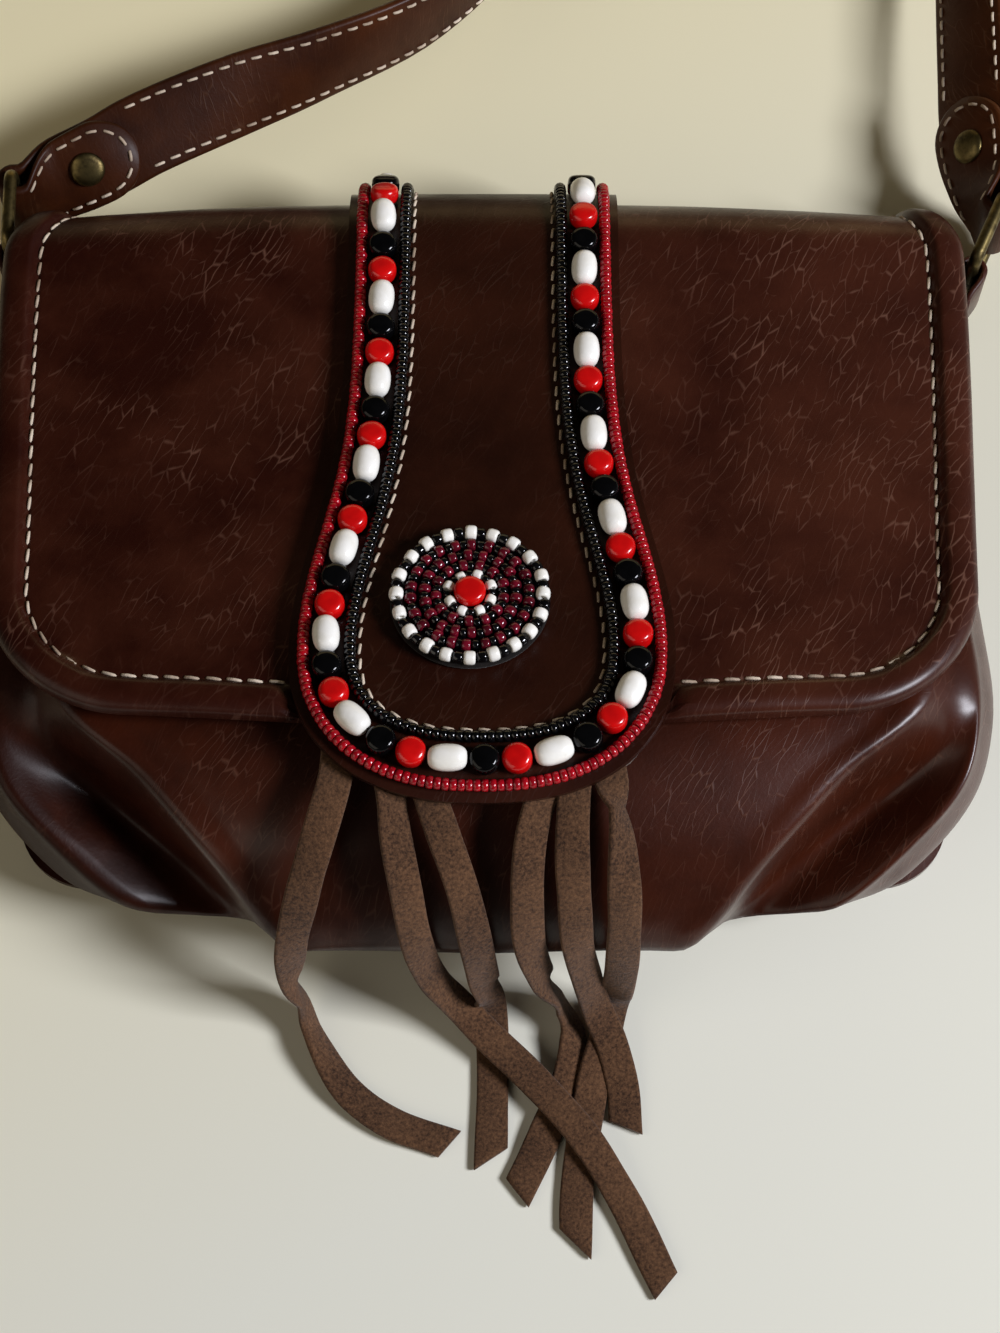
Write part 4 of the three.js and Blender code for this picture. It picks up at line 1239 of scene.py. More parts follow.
@dataclass
class Tab:
    """The bell-shaped tongue on the flap, which carries the beads.

    Attributes:
        rear_share: share of the fold that the tab covers.
        waist, flare: half of the width at the fold, and how much it grows to the widest place.
        roundness: power of the rounded end; 2 is an ellipse.
        rows, outline_steps: points of each stretch, as the methods name them.
        fineness: points of a row's line for each point of the outline.
    """

    thickness: float = 2.4
    rear_share: float = 0.5
    waist: float = 34.3
    flare: float = 11.2
    flare_reach: float = 42.0
    widest: float = 118.7
    tip: float = 158.2
    roundness: float = 2.4
    rounding: float = 0.8
    rows: tuple[int, int, int] = (14, 40, 28)
    columns: int = 33
    outline_steps: tuple[int, int] = (44, 26)
    fineness: int = 6
    seam_inset: float = 16.7
    seam: Seam = Seam(pitch=4.3, length=3.2, radius=0.42)

    @property
    def top(self) -> float:
        """Height of the tab's face over the flap's."""
        return GAP + self.thickness

    @property
    def rear(self) -> float:
        """Where the tab starts behind the fold."""
        return -LIE.fold_length * self.rear_share

    def half_width(self, along: float) -> float:
        """Gives half of the tab's width at a distance along it."""
        if along <= self.widest:
            return self.waist + self.flare * math.exp(-(((along - self.widest) / self.flare_reach) ** 2))
        share = min(1.0, (along - self.widest) / (self.tip - self.widest))
        return (self.waist + self.flare) * (1 - share**self.roundness) ** (1 / self.roundness)

    def outline(self) -> Array:
        """Gives the tab's edge on the flat leather, from its left rear end to the right one."""
        side_steps, round_steps = self.outline_steps
        left = []
        for step in range(side_steps):
            along = lerp(self.rear, self.widest, step / side_steps)
            left.append((-self.half_width(along), along))
        for step in range(round_steps):
            angle = math.pi / 2 * step / round_steps
            x = -(self.waist + self.flare) * math.cos(angle) ** (2 / self.roundness)
            along = self.widest + (self.tip - self.widest) * math.sin(angle) ** (2 / self.roundness)
            left.append((x, along))
        right = [(-x, along) for x, along in reversed(left)]
        return np.array([*left, (0.0, self.tip), *right])

    def row(self, inset: float, lift: float) -> Track:
        """Gives a row's line on the tab, with the outward direction at each place.

        Args:
            inset: how far the row lies in from the tab's edge.
            lift: its height over the leather's own surface.

        Returns:
            A track whose further columns are the outward direction.
        """
        edge = self.outline()
        ways = np.gradient(edge, axis=0)
        ways /= np.linalg.norm(ways, axis=1, keepdims=True)
        places = [(x + way[1] * inset, along - way[0] * inset) for (x, along), way in zip(edge, ways)]
        line = SmoothLine(np.array([[*LIE.at(x, along, lift), *LIE.out(along)] for x, along in places]))
        count = len(places) * self.fineness
        return Track(np.array([line.at(step / count) for step in range(count + 1)]))

    def grid(self, lift: float) -> Array:
        """Gives one face of the tab at a height over the leather."""
        fold_rows, side_rows, tip_rows = self.rows
        alongs = [*np.linspace(self.rear, 0, fold_rows)[:-1], *np.linspace(0, self.widest, side_rows)]
        reach = self.tip - self.widest
        turns = np.linspace(0, math.pi / 2 * NEARLY_CLOSED, tip_rows)[1:]
        alongs += [self.widest + reach * math.sin(angle) for angle in turns]
        shares = np.sin(np.linspace(-math.pi / 2, math.pi / 2, self.columns))
        return np.array([[LIE.at(self.half_width(a) * share, a, lift) for share in shares] for a in alongs])

    def build(self) -> None:
        """Builds the tab and the stitching inside its beads."""
        draft = MeshDraft()
        draft.sheet(self.grid(self.top), self.grid(GAP))
        draft.build("tab_leather", TAB_LEATHER, ["tab"], bevel=self.rounding)
        stitches = MeshDraft()
        track = self.row(self.seam_inset, self.top)
        self.seam.sew(stitches, track.points[:, :3], track.points[:, 3:6])
        stitches.build("tab_stitches", THREAD)


# Beads


class BeadShape(Enum):
    """Ways that a glass bead is made."""

    SEED = "drawn tube, cut short and fire rounded"
    BARREL = "pressed barrel"
    COIN = "pressed coin"


@dataclass(frozen=True)
class BeadForm:
    """A bead of unit half sizes: its hole runs along X, and Z points out of the leather.

    Attributes:
        sides, steps: points round it and from end to end.
        hole: half width of a seed bead's hole.
        drawn_powers: roundness of a seed bead's ends and sides; 1 is a circle.
        coin_powers, barrel_powers: the same across and along the axis of a pressed bead.
    """

    shape: BeadShape
    sides: int = 12
    steps: int = 8
    hole: float = 0.28
    drawn_powers: Pair = (0.7, 0.8)
    coin_powers: Pair = (0.5, 0.62)
    barrel_powers: Pair = (0.62, 0.86)

    def mesh(self) -> BeadMesh:
        """Gives the bead's points and faces."""
        if self.shape is BeadShape.SEED:
            return self.drawn()
        return self.pressed()

    def drawn(self) -> BeadMesh:
        """Gives a short round tube with its hole."""
        end_power, side_power = self.drawn_powers
        points = []
        for side in range(self.sides):
            turn = 2 * math.pi * side / self.sides
            for step in range(self.steps):
                angle = 2 * math.pi * step / self.steps
                x = math.copysign(abs(math.cos(angle)) ** end_power, math.cos(angle))
                out = math.copysign(abs(math.sin(angle)) ** side_power, math.sin(angle))
                radius = (1 + self.hole) / 2 + out * (1 - self.hole) / 2
                points.append((x, radius * math.cos(turn), radius * math.sin(turn)))
        faces = []
        for side in range(self.sides):
            beside = (side + 1) % self.sides
            for step in range(self.steps):
                after = (step + 1) % self.steps
                corners = ((side, step), (beside, step), (beside, after), (side, after))
                faces.append(tuple(row * self.steps + place for row, place in corners))
        return np.array(points), faces

    def pressed(self) -> BeadMesh:
        """Gives a barrel about X or a coin about Z, closed at both ends."""
        coin = self.shape is BeadShape.COIN
        wide, tall = self.coin_powers if coin else self.barrel_powers
        turns = np.arange(self.sides) * (2 * math.pi / self.sides)
        rings = []
        for step in range(self.steps + 1):
            angle = math.pi * (step / self.steps - 0.5) * NEARLY_CLOSED
            radius = math.cos(angle) ** wide
            level = np.full(self.sides, math.copysign(abs(math.sin(angle)) ** tall, angle))
            ring = np.stack([np.cos(turns) * radius, np.sin(turns) * radius, level], axis=1)
            rings.append(ring if coin else ring[:, [2, 0, 1]])
        draft = MeshDraft()
        draft.loft(rings)
        return np.concatenate(draft.points), draft.faces


@dataclass(frozen=True)
class Stringing:
    """A place for a bead: its middle, the thread's way and the leather's outward direction."""

    middle: Array
    way: Array
    out: Array

    def set(self, draft: MeshDraft, form: BeadMesh, half: Sequence[float]) -> None:
        """Adds a bead.

        Args:
            draft: the mesh that takes it.
            form: its points and faces, of unit half sizes.
            half: half of its length, width and height.
        """
        way = unit(self.way)
        beside = unit(np.cross(self.out, way))
        out = np.cross(way, beside)
        points, faces = form
        draft.add(self.middle + (points * np.array(half)) @ np.array([way, beside, out]), faces)


@dataclass
class SeedRow:
    """A row of seed beads, couched close together.

    Attributes:
        tab: the tab that carries the row.
        node: the solid that the row stands for.
        inset: how far it lies in from the tab's edge.
        sizes: least and greatest size of a bead, as a share of the diameter.
        fill: half of a bead's length, as a share of the pitch.
        wobble: how far a bead is turned from the thread's way.
    """

    tab: Tab
    name: str
    node: str
    finish: Finish
    inset: float
    diameter: float = 3.0
    pitch: float = 1.82
    seed: int = 1
    sizes: Pair = (0.94, 1.04)
    fill: float = 0.49
    wobble: float = 0.035

    def build(self) -> None:
        """Builds the row."""
        chance = np.random.default_rng(self.seed)
        form = BeadForm(BeadShape.SEED).mesh()
        track = self.tab.row(self.inset, self.tab.top + self.diameter / 2 + BEAD_SEAT)
        draft = MeshDraft()
        place = self.pitch / 2
        while place < track.length - self.pitch / 2:
            here = track.at(place)
            radius = self.diameter / 2 * chance.uniform(*self.sizes)
            half = (self.pitch * self.fill, radius, radius)
            way = track.way(place) + chance.normal(0, self.wobble, 3)
            Stringing(here[:3], way, here[3:6]).set(draft, form, half)
            place += self.pitch
        draft.build(self.name, self.finish, [self.node])


@dataclass(frozen=True)
class LargeBead:
    """One kind of the large beads: the room it takes on the thread and its half sizes."""

    name: str
    shape: BeadShape
    finish: Finish
    room: float
    half: Triple


LARGE_BEADS = (
    LargeBead("white_barrel_beads", BeadShape.BARREL, WHITE_GLASS, 9.56, (4.6, 3.25, 3.1)),
    LargeBead("black_coin_beads", BeadShape.COIN, BLACK_COIN_GLASS, 7.5, (3.6, 3.6, 2.5)),
    LargeBead("red_coin_beads", BeadShape.COIN, RED_COIN_GLASS, 7.5, (3.6, 3.6, 2.5)),
)


@dataclass
class LargeBeadRow:
    """The row of large beads, in turn white barrel, black coin and red coin.

    Attributes:
        tab: the tab that carries the row.
        inset: how far it lies in from the tab's edge.
        span: over which the thread's way at a bead is read, to both sides.
        wobble: how far a bead is turned from that way.
    """

    tab: Tab
    inset: float = 8.9
    margin: float = 2.0
    span: float = 2.0
    wobble: float = 0.045
    seed: int = 8
    sides: int = 20
    steps: int = 12

    def build(self) -> None:
        """Builds the row."""
        chance = np.random.default_rng(self.seed)
        drafts = [MeshDraft() for _ in LARGE_BEADS]
        forms = [BeadForm(bead.shape, self.sides, self.steps).mesh() for bead in LARGE_BEADS]
        track = self.tab.row(self.inset, self.tab.top)
        place = self.margin
        turn = 0
        while True:
            kind = turn % len(LARGE_BEADS)
            bead = LARGE_BEADS[kind]
            if place + bead.room > track.length - self.margin:
                break
            middle = place + bead.room / 2
            here = track.at(middle)
            lift = here[3:6] * (bead.half[2] + BEAD_SEAT)
            way = track.way(middle, self.span) + chance.normal(0, self.wobble, 3)
            Stringing(here[:3] + lift, way, here[3:6]).set(drafts[kind], forms[kind], bead.half)
            place += bead.room
            turn += 1
        for bead, draft in zip(LARGE_BEADS, drafts):
            draft.build(bead.name, bead.finish, ["bead_string"])


@dataclass(frozen=True)
class RosetteRing:
    """A ring of the rosette, in which beads of a colour take turns with black ones.

    Attributes:
        count: of the beads of that colour.
        share: of the room on the thread that they have; the black ones have the rest.
    """

    radius: float
    count: int
    finish: Finish
    diameter: float
    share: float = 0.56


@dataclass
class Rosette:
    """The round beaded medallion on the tab.

    Attributes:
        tab: the tab that carries it.
        x, along: place of its middle on the leather.
        backing_edge: how far the felt's edge is cut off: below, above inwards and above downwards.
        hollow: room under the felt, on the bent tab.
        dome: how much higher the inner rings stand.
        rings: from the outer one to the inner one.
        bead_points, coin_points: points round a bead and from end to end.
        ring_turn: how far each ring is turned from the one outside it.
        turn_wobble, spoke_wobble, wobble: how far a bead is off its place, radius and way.
        sizes, fill: as in a row of seed beads.
        pit: how far over the beads' undersides the coin lies.
    """

    tab: Tab
    x: float = -2.9
    along: float = 107.2
    backing_radius: float = 19.0
    backing: float = 1.2
    backing_edge: Triple = (0.4, 0.5, 0.3)
    backing_sides: int = 64
    hollow: float = 0.2
    dome: float = 1.0
    rings: tuple[RosetteRing, ...] = (
        RosetteRing(17.5, 20, WHITE_GLASS, 3.5, 0.54),
        RosetteRing(14.0, 22, GARNET_GLASS, 3.0),
        RosetteRing(10.9, 18, GARNET_GLASS, 3.0),
        RosetteRing(8.0, 13, GARNET_GLASS, 2.9),
        RosetteRing(5.2, 8, WHITE_GLASS, 2.7),
    )
    bead_gap: float = 0.1
    bead_points: tuple[int, int] = (12, 10)
    ring_turn: float = 0.11
    turn_wobble: float = 0.012
    spoke_wobble: float = 0.12
    wobble: float = 0.05
    black_size: float = 0.86
    sizes: Pair = (0.95, 1.05)
    fill: float = 0.47
    seed: int = 21
    pit: float = 1.0
    coin_half: Triple = (3.8, 3.8, 1.8)
    coin_points: tuple[int, int] = (28, 14)

    @property
    def low(self) -> float:
        """Height of the disc's underside over the tab."""
        return GAP + self.hollow

    @property
    def base(self) -> float:
        """Height of the beads' undersides over the tab."""
        return self.low + self.backing + self.bead_gap

    def seat(self) -> tuple[Array, Array, Array, Array]:
        """Gives the middle of the rosette's place on the tab and its three directions."""
        out = LIE.out(self.along)
        right = np.array([1.0, 0.0, 0.0])
        return LIE.at(self.x, self.along, self.tab.top), right, np.cross(out, right), out

    def build_backing(self) -> None:
        """Builds the felt disc."""
        middle, right, upward, out = self.seat()
        below, inwards, downwards = self.backing_edge
        wide, top = self.backing_radius, self.low + self.backing
        discs = [(wide - below, self.low), (wide, self.low + below)]
        discs += [(wide, top - downwards), (wide - inwards, top)]
        rings = []
        for radius, lift in discs:
            rings.append(ring_round(middle + out * lift, right, upward, radius, radius, self.backing_sides))
        draft = MeshDraft()
        draft.loft(rings)
        draft.build("rosette_felt", FELT, ["rosette_backing"])

    def build_rings(self) -> None:
        """Builds the rings of beads."""
        middle, right, upward, out = self.seat()
        form = BeadForm(BeadShape.SEED, *self.bead_points).mesh()
        chance = np.random.default_rng(self.seed)
        drafts: dict[str, tuple[Finish, MeshDraft]] = {}
        for turn, ring in enumerate(self.rings):
            room = 2 * math.pi / ring.count
            rise = self.dome * (1 - ring.radius / self.rings[0].radius)
            for bead in range(ring.count * 2):
                black = bead % 2 == 1
                finish = BLACK_GLASS if black else ring.finish
                share = (1 - ring.share) if black else ring.share
                angle = room * (bead // 2 + (0.5 if black else 0.0)) + turn * self.ring_turn
                angle += chance.normal(0, self.turn_wobble)
                size = ring.diameter * (self.black_size if black else 1.0) * chance.uniform(*self.sizes)
                spoke = right * math.cos(angle) + upward * math.sin(angle)
                around = upward * math.cos(angle) - right * math.sin(angle)
                radius = ring.radius + chance.normal(0, self.spoke_wobble)
                place = middle + spoke * radius + out * (self.base + rise + size / 2)
                half = (room * ring.radius * share * self.fill, size / 2, size / 2)
                way = around + chance.normal(0, self.wobble, 3)
                draft = drafts.setdefault(finish.name, (finish, MeshDraft()))[1]
                Stringing(place, way, out).set(draft, form, half)
        for finish, draft in drafts.values():
            draft.build(f"rosette_{finish.name}", finish, ["rosette_bead_field"])

    def build_coin(self) -> None:
        """Builds the coin bead in the middle."""
        middle, right, _, out = self.seat()
        lift = self.base + self.pit + GAP + self.coin_half[2]
        form = BeadForm(BeadShape.COIN, *self.coin_points).mesh()
        draft = MeshDraft()
        Stringing(middle + out * lift, right, out).set(draft, form, self.coin_half)
        draft.build("rosette_coin_bead", RED_COIN_GLASS, ["rosette_center_bead"])

    def build(self) -> None:
        """Builds backing, rings of beads and the coin in the middle."""
        self.build_backing()
        self.build_rings()
        self.build_coin()


# Fringe


@dataclass(frozen=True)
class Strip:
    """A suede strip.

    Attributes:
        start: x where it starts.
        fall: x at each row of the fall.
        lying: the way it lies.
        turns: distances from its start and how many degrees it is turned about its own line there.
        cut: how far its end is cut aslant, as a share of its width.
    """

    start: float
    fall: tuple[float, ...]
    lying: tuple[Triple, ...]
    turns: tuple[Pair, ...] = ((0, 0), (100, 0))
    cut: float = 0.0


@dataclass
class Fringe:
    """Six strips on one head under the end of the tab.

    Attributes:
        tab: the tab that the fringe hangs under.
        fall: y and z of the rows in which the strips fall over the front of the pouch.
        fineness, sections: steps of a strip's measured line and of its mesh.
        width_wave, line_wave: how uneven a strip's width and line are, and over which length.
        width_pattern, line_pattern: from strip to strip, and the seed, of that unevenness.
        head_from, head_to: where along the leather the head lies; head_seat is the gap over it.
    """

    tab: Tab
    width: float = 8.0
    thickness: float = 1.6
    start_along: float = 142.5
    start_lift: float = -1.0
    fall: tuple[Pair, ...] = ((-61, 62.2), (-72.5, 59.8), (-83.5, 52), (-93, 39), (-98.5, 22))
    strips: tuple[Strip, ...] = (
        Strip(
            -33,
            (-34, -37, -41, -44.5, -45.5),
            ((-43.5, -102, 6.5), (-40.5, -109, 1), (-33, -121, 0.8), (-22, -129, 0.8), (-8, -134, 0.8)),
            ((0, 0), (30, 0), (55, 30), (78, 66), (92, 58), (112, 16), (140, 0)),
            -0.4,
        ),
        Strip(
            -21.5,
            (-21.2, -20, -18, -15.5, -11.5),
            (
                (-5, -102.5, 10), (2, -109, 5), (13, -119.5, 4),
                (24, -132, 4), (34, -148, 1.6), (43.7, -168, 0.8),
            ),
            ((0, 0), (8, 0), (15, 38), (40, 0)),
            0.45,
        ),
        Strip(
            -14.5,
            (-13.2, -9.2, -5, -1.6, 0.4),
            ((2, -101, 5.5), (2.4, -107, 1), (2.4, -122, 0.8), (2, -137.6, 0.8)),
            cut=0.7,
        ),
        Strip(
            16,
            (14.8, 11.8, 10.4, 11, 14.5),
            ((19, -101, 6), (22, -107, 1), (21, -117, 0.8), (15.4, -131, 0.8), (8.4, -145.8, 0.8)),
            ((0, 0), (9, 0), (16, 32), (45, 4), (70, 12), (88, 58), (106, 15), (130, 0)),
            -0.5,
        ),
        Strip(
            21.5,
            (21.4, 21, 21.2, 22.2, 25),
            ((28, -103, 9), (31.5, -110, 3.6), (34, -120, 1.2), (34.5, -130, 0.8)),
            cut=-0.45,
        ),
        Strip(
            28.5,
            (29.8, 32, 33, 33.2, 32.8),
            ((31.8, -101, 5), (30, -107.5, 0.9), (26.4, -121, 0.8), (23, -142, 0.8), (22.3, -158, 0.8)),
            ((0, 0), (10, 0), (16, 64), (36, 6), (70, 0), (88, 32), (112, 8), (130, 0)),
            -0.9,
        ),
    )
    fineness: int = 400
    sections: int = 72
    span: float = 1.5
    width_wave: Pair = (0.05, 12.0)
    line_wave: Pair = (0.25, 16.0)
    width_pattern: Pair = (9.0, 2.0)
    line_pattern: Pair = (5.0, 4.0)
    head_half: float = 37.0
    head_from: float = 138.2
    head_to: float = 151.0
    head_seat: float = 0.15
    head_points: tuple[int, int] = (5, 13)

    def route(self, strip: Strip) -> Track:
        """Gives a strip's middle line as a track."""
        controls = [LIE.at(strip.start, self.start_along, self.start_lift)]
        controls += [np.array([x, y, z]) for x, (y, z) in zip(strip.fall, self.fall)]
        controls += [np.array(place, float) for place in strip.lying]
        line = SmoothLine(np.array(controls))
        return Track(np.array([line.at(step / self.fineness) for step in range(self.fineness + 1)]))

    def add_strip(self, draft: MeshDraft, strip: Strip, seed: int) -> None:
        """Adds a strip with unevenly cut edges.

        Args:
            draft: the mesh that takes it.
            strip: its shape.
            seed: which cut it has.
        """
        track = self.route(strip)
        width_height, width_length = self.width_wave
        line_height, line_length = self.line_wave
        width_step, width_seed = self.width_pattern
        line_step, line_seed = self.line_pattern
        rings = []
        for station in range(self.sections + 1):
            distance = track.length * station / self.sections
            middle = track.at(distance)
            way = track.way(distance, self.span)
            across = unit(np.cross(way, UP))
            face = unit(np.cross(across, way))
            roll = math.radians(np.interp(distance, *zip(*strip.turns)))
            across, face = (
                across * math.cos(roll) + face * math.sin(roll),
                face * math.cos(roll) - across * math.sin(roll),
            )
            narrow = width_height * drift(distance, seed * width_step, width_length, width_seed)
            width = self.width * (1 + narrow)
            aside = drift(distance, seed * line_step, line_length, line_seed)
            middle = middle + across * line_height * aside
            ring = band_section(middle, across, face, width, self.thickness)
            aslant = strip.cut * smoothstep(distance, track.length - 2 * self.width, track.length)
            ring = ring + np.outer((ring - middle) @ across * aslant, way)
            ring[:, 2] += max(0.0, -ring[:, 2].min())
            rings.append(ring)
        draft.loft(rings)

    def add_head(self, draft: MeshDraft) -> None:
        """Adds the strip of suede that joins the strips, under the tab.

        Args:
            draft: the mesh that takes it.
        """
        rows_along, points_across = self.head_points
        alongs = np.linspace(self.head_from, self.head_to, rows_along)

        def face(lift: float) -> Array:
            """Gives one face of the head."""
            rows = []
            for along in alongs:
                half = min(self.head_half, self.tab.half_width(along) - GAP)
                rows.append([LIE.at(x, along, lift) for x in np.linspace(-half, half, points_across)])
            return np.array(rows)

        draft.sheet(face(-self.head_seat), face(-self.head_seat - self.thickness))

    def build(self) -> None:
        """Builds the head and the strips."""
        draft = MeshDraft()
        self.add_head(draft)
        for turn, strip in enumerate(self.strips):
            self.add_strip(draft, strip, turn)
        draft.build("suede_fringe", SUEDE, ["fringe"])


# Strap, rings and rivets


@dataclass(frozen=True)
class StrapFrame:
    """The strap at one place: its middle, its way, its inner face and its width."""

    middle: Array
    way: Array
    face: Array
    across: Array


@dataclass
class Strap:
    """The shoulder strap, folded through a ring at each end and riveted.

    Attributes:
        settle: how far from the bar a folded end comes to lie on the strap.
        bend: radius of the fold's middle line round the bar.
        turn_middle, turn_radius: the loop's far turn, in x and y.
        seam_beyond, seam_from: where the stitches start, past a folded end and from the bar.
        from_left: x, y, z and roll in degrees from the left ring; roll 0 stands on edge, 90 lies face up.
        to_right: the same to the right ring.
        tip_shares: sections of an end's rounded tip, as shares of its length.
        fine_length, fine_step: the part at each bar with close sections, and the step between them.
    """

    width: float = 22.0
    thickness: float = 2.6
    end_length: float = 34.0
    end_round: float = 11.0
    settle: float = 14.0
    bend: float = 3.4
    turn_middle: Pair = (79.0, 545.0)
    turn_radius: float = 55.0
    turn_steps: int = 6
    fineness: int = 3000
    seam_inset: float = 2.5
    seam_beyond: float = 1.5
    seam_from: float = 3.0
    seam_points: int = 420
    end_seam_from: float = 4.0
    end_seam_points: int = 24
    seam: Seam = Seam(pitch=4.5, length=3.2, radius=0.42, slant=0.1)
    from_left: tuple[tuple[float, float, float, float], ...] = (
        (-124.3, 118.4, 16.5, 0),
        (-120.6, 119.4, 16.5, 0),
        (-113.4, 121.4, 17.3, 30),
        (-107.2, 123.2, 18.6, 44),
        (-100, 126.2, 20, 51),
        (-90.8, 131.3, 21.5, 57),
        (-66, 143, 22.5, 44),
        (-43.6, 153.4, 21.5, 22),
        (-14, 172, 17.5, 8),
        (11, 203, 13.5, 0),
        (22, 248, 11.7, 0),
        (24, 310, 11.2, 0),
        (24, 430, 11.2, 0),
    )
    to_right: tuple[tuple[float, float, float, float], ...] = (
        (134, 430, 11.2, 0),
        (134, 320, 11.2, 0),
        (133.4, 255, 13, 12),
        (132, 195, 17.5, 38),
        (131, 150, 19.5, 46),
        (130.9, 138, 19, 46),
        (131.6, 128, 18.4, 43),
        (133.6, 120, 17.4, 29),
        (136.6, 113.8, 16.5, 0),
        (138.4, 110.2, 16.5, 0),
    )
    tip_shares: tuple[float, ...] = (0.004, 0.03, 0.08, 0.16, 0.26, 0.38, 0.52, 0.68, 0.84, 1.0)
    end_gap: float = 1.5
    end_points: int = 12
    bend_points: int = 11
    fine_length: float = 48.0
    fine_step: float = 2.0
    run_points: int = 170
    track: Track = field(init=False)

    def __post_init__(self) -> None:
        """Lays the strap's route out as a track that carries its roll."""
        turn = []
        for step in range(self.turn_steps + 1):
            angle = math.pi * (1 - step / self.turn_steps)
            x = self.turn_middle[0] + self.turn_radius * math.cos(angle)
            y = self.turn_middle[1] + self.turn_radius * math.sin(angle)
            turn.append((x, y, self.width / 2, 0))
        route = np.array([*self.from_left, *turn, *self.to_right], float)
        line = SmoothLine(route[:, :3])
        rolls = SmoothLine(np.radians(route[:, 3:]), Pace.EVEN)
        shares = [step / self.fineness for step in range(self.fineness + 1)]
        self.track = Track(np.array([[*line.at(share), *rolls.at(share)] for share in shares]))

    def at(self, distance: float) -> StrapFrame:
        """Gives the strap at a distance from its left fold."""
        row = self.track.at(distance)
        way = self.track.way(distance)
        inside = unit(np.cross(way, UP))
        above = unit(np.cross(inside, way))
        face = inside * math.cos(row[3]) + above * math.sin(row[3])
        return StrapFrame(row[:3], way, face, unit(np.cross(face, way)))

    def end_of(self, side: Side) -> tuple[float, int]:
        """Gives where the strap's fold is at a side, and which way the strap runs from there."""
        return (0.0, 1) if side is Side.LEFT else (self.track.length, -1)

    def end_offset(self, distance: float) -> float:
        """Gives how far the folded end lies from the strap: wide at the bar, close at the rivet."""
        return lerp(self.bend * 2, self.thickness + GAP, smoothstep(distance, 0, self.settle))

    def bar(self, side: Side) -> Array:
        """Gives the middle of the ring's bar in the strap's fold."""
        here = self.at(self.end_of(side)[0])
        return here.middle + here.face * self.bend

    def folded_end(self, side: Side) -> list[Array]:
        """Gives sections of the folded end, from its rounded tip to the bar."""
        origin, direction = self.end_of(side)
        sections = []
        stations = [(self.end_length - self.end_round * share, share) for share in self.tip_shares]
        straight = np.linspace(self.end_length - self.end_round, self.end_gap, self.end_points)[1:]
        stations += [(distance, 1.0) for distance in straight]
        for distance, share in stations:
            here = self.at(origin + direction * distance)
            width = self.width * math.sqrt(1 - (1 - share) ** 2)
            middle = here.middle + here.face * self.end_offset(distance)
            sections.append(band_section(middle, here.across, here.face, width, self.thickness))
        here = self.at(origin)
        bar = self.bar(side)
        for angle in np.linspace(0, math.pi, self.bend_points)[:-1]:
            out = here.face * math.cos(angle) - here.way * (direction * math.sin(angle))
            middle = bar + out * self.bend
            sections.append(band_section(middle, here.across, out, self.width, self.thickness))
        return sections

    def seam_rows(self) -> list[tuple[Array, Array]]:
        """Gives the rows of stitches along both edges, on both faces and round both folded ends."""
        rows = []
        half = self.width / 2 - self.seam_inset
        lift = self.thickness / 2
        for face in (1, -1):
            start = self.end_length + self.seam_beyond if face == 1 else self.seam_from
            distances = np.linspace(start, self.track.length - start, self.seam_points)
            for edge in (1, -1):
                frames = [self.at(distance) for distance in distances]
                places = [f.middle + f.face * (face * lift) + f.across * (edge * half) for f in frames]
                rows.append((np.array(places), np.array([f.face * face for f in frames])))
        for side in Side:
            origin, direction = self.end_of(side)
            tip = self.end_length - self.seam_inset - half
            there = np.linspace(self.end_seam_from, tip, self.end_seam_points)
            back = np.linspace(tip, self.end_seam_from, self.end_seam_points)
            line = [(distance, half) for distance in there]
            for angle in np.linspace(0, math.pi, self.end_seam_points)[1:-1]:
                line.append((tip + half * math.sin(angle), half * math.cos(angle)))
            line += [(distance, -half) for distance in back]
            places, ups = [], []
            for distance, beside in line:
                here = self.at(origin + direction * distance)
                lifted = here.face * (self.end_offset(distance) + lift)
                places.append(here.middle + lifted + here.across * beside)
                ups.append(here.face)
            rows.append((np.array(places), np.array(ups)))
        return rows

    def build(self) -> None:
        """Builds the strap and its stitching."""
        length = self.track.length
        near = np.arange(0, self.fine_length, self.fine_step)
        far = np.linspace(self.fine_length, length - self.fine_length, self.run_points)
        run = []
        for distance in [*near, *far, *(length - near[::-1])]:
            here = self.at(distance)
            run.append(band_section(here.middle, here.across, -here.face, self.width, self.thickness))
        draft = MeshDraft()
        draft.loft([*self.folded_end(Side.LEFT), *run, *reversed(self.folded_end(Side.RIGHT))])
        draft.build("strap_leather", STRAP_LEATHER, ["shoulder_strap"])
        stitches = MeshDraft()
        for places, ups in self.seam_rows():
            self.seam.sew(stitches, places, ups)
        stitches.build("strap_stitches", THREAD)


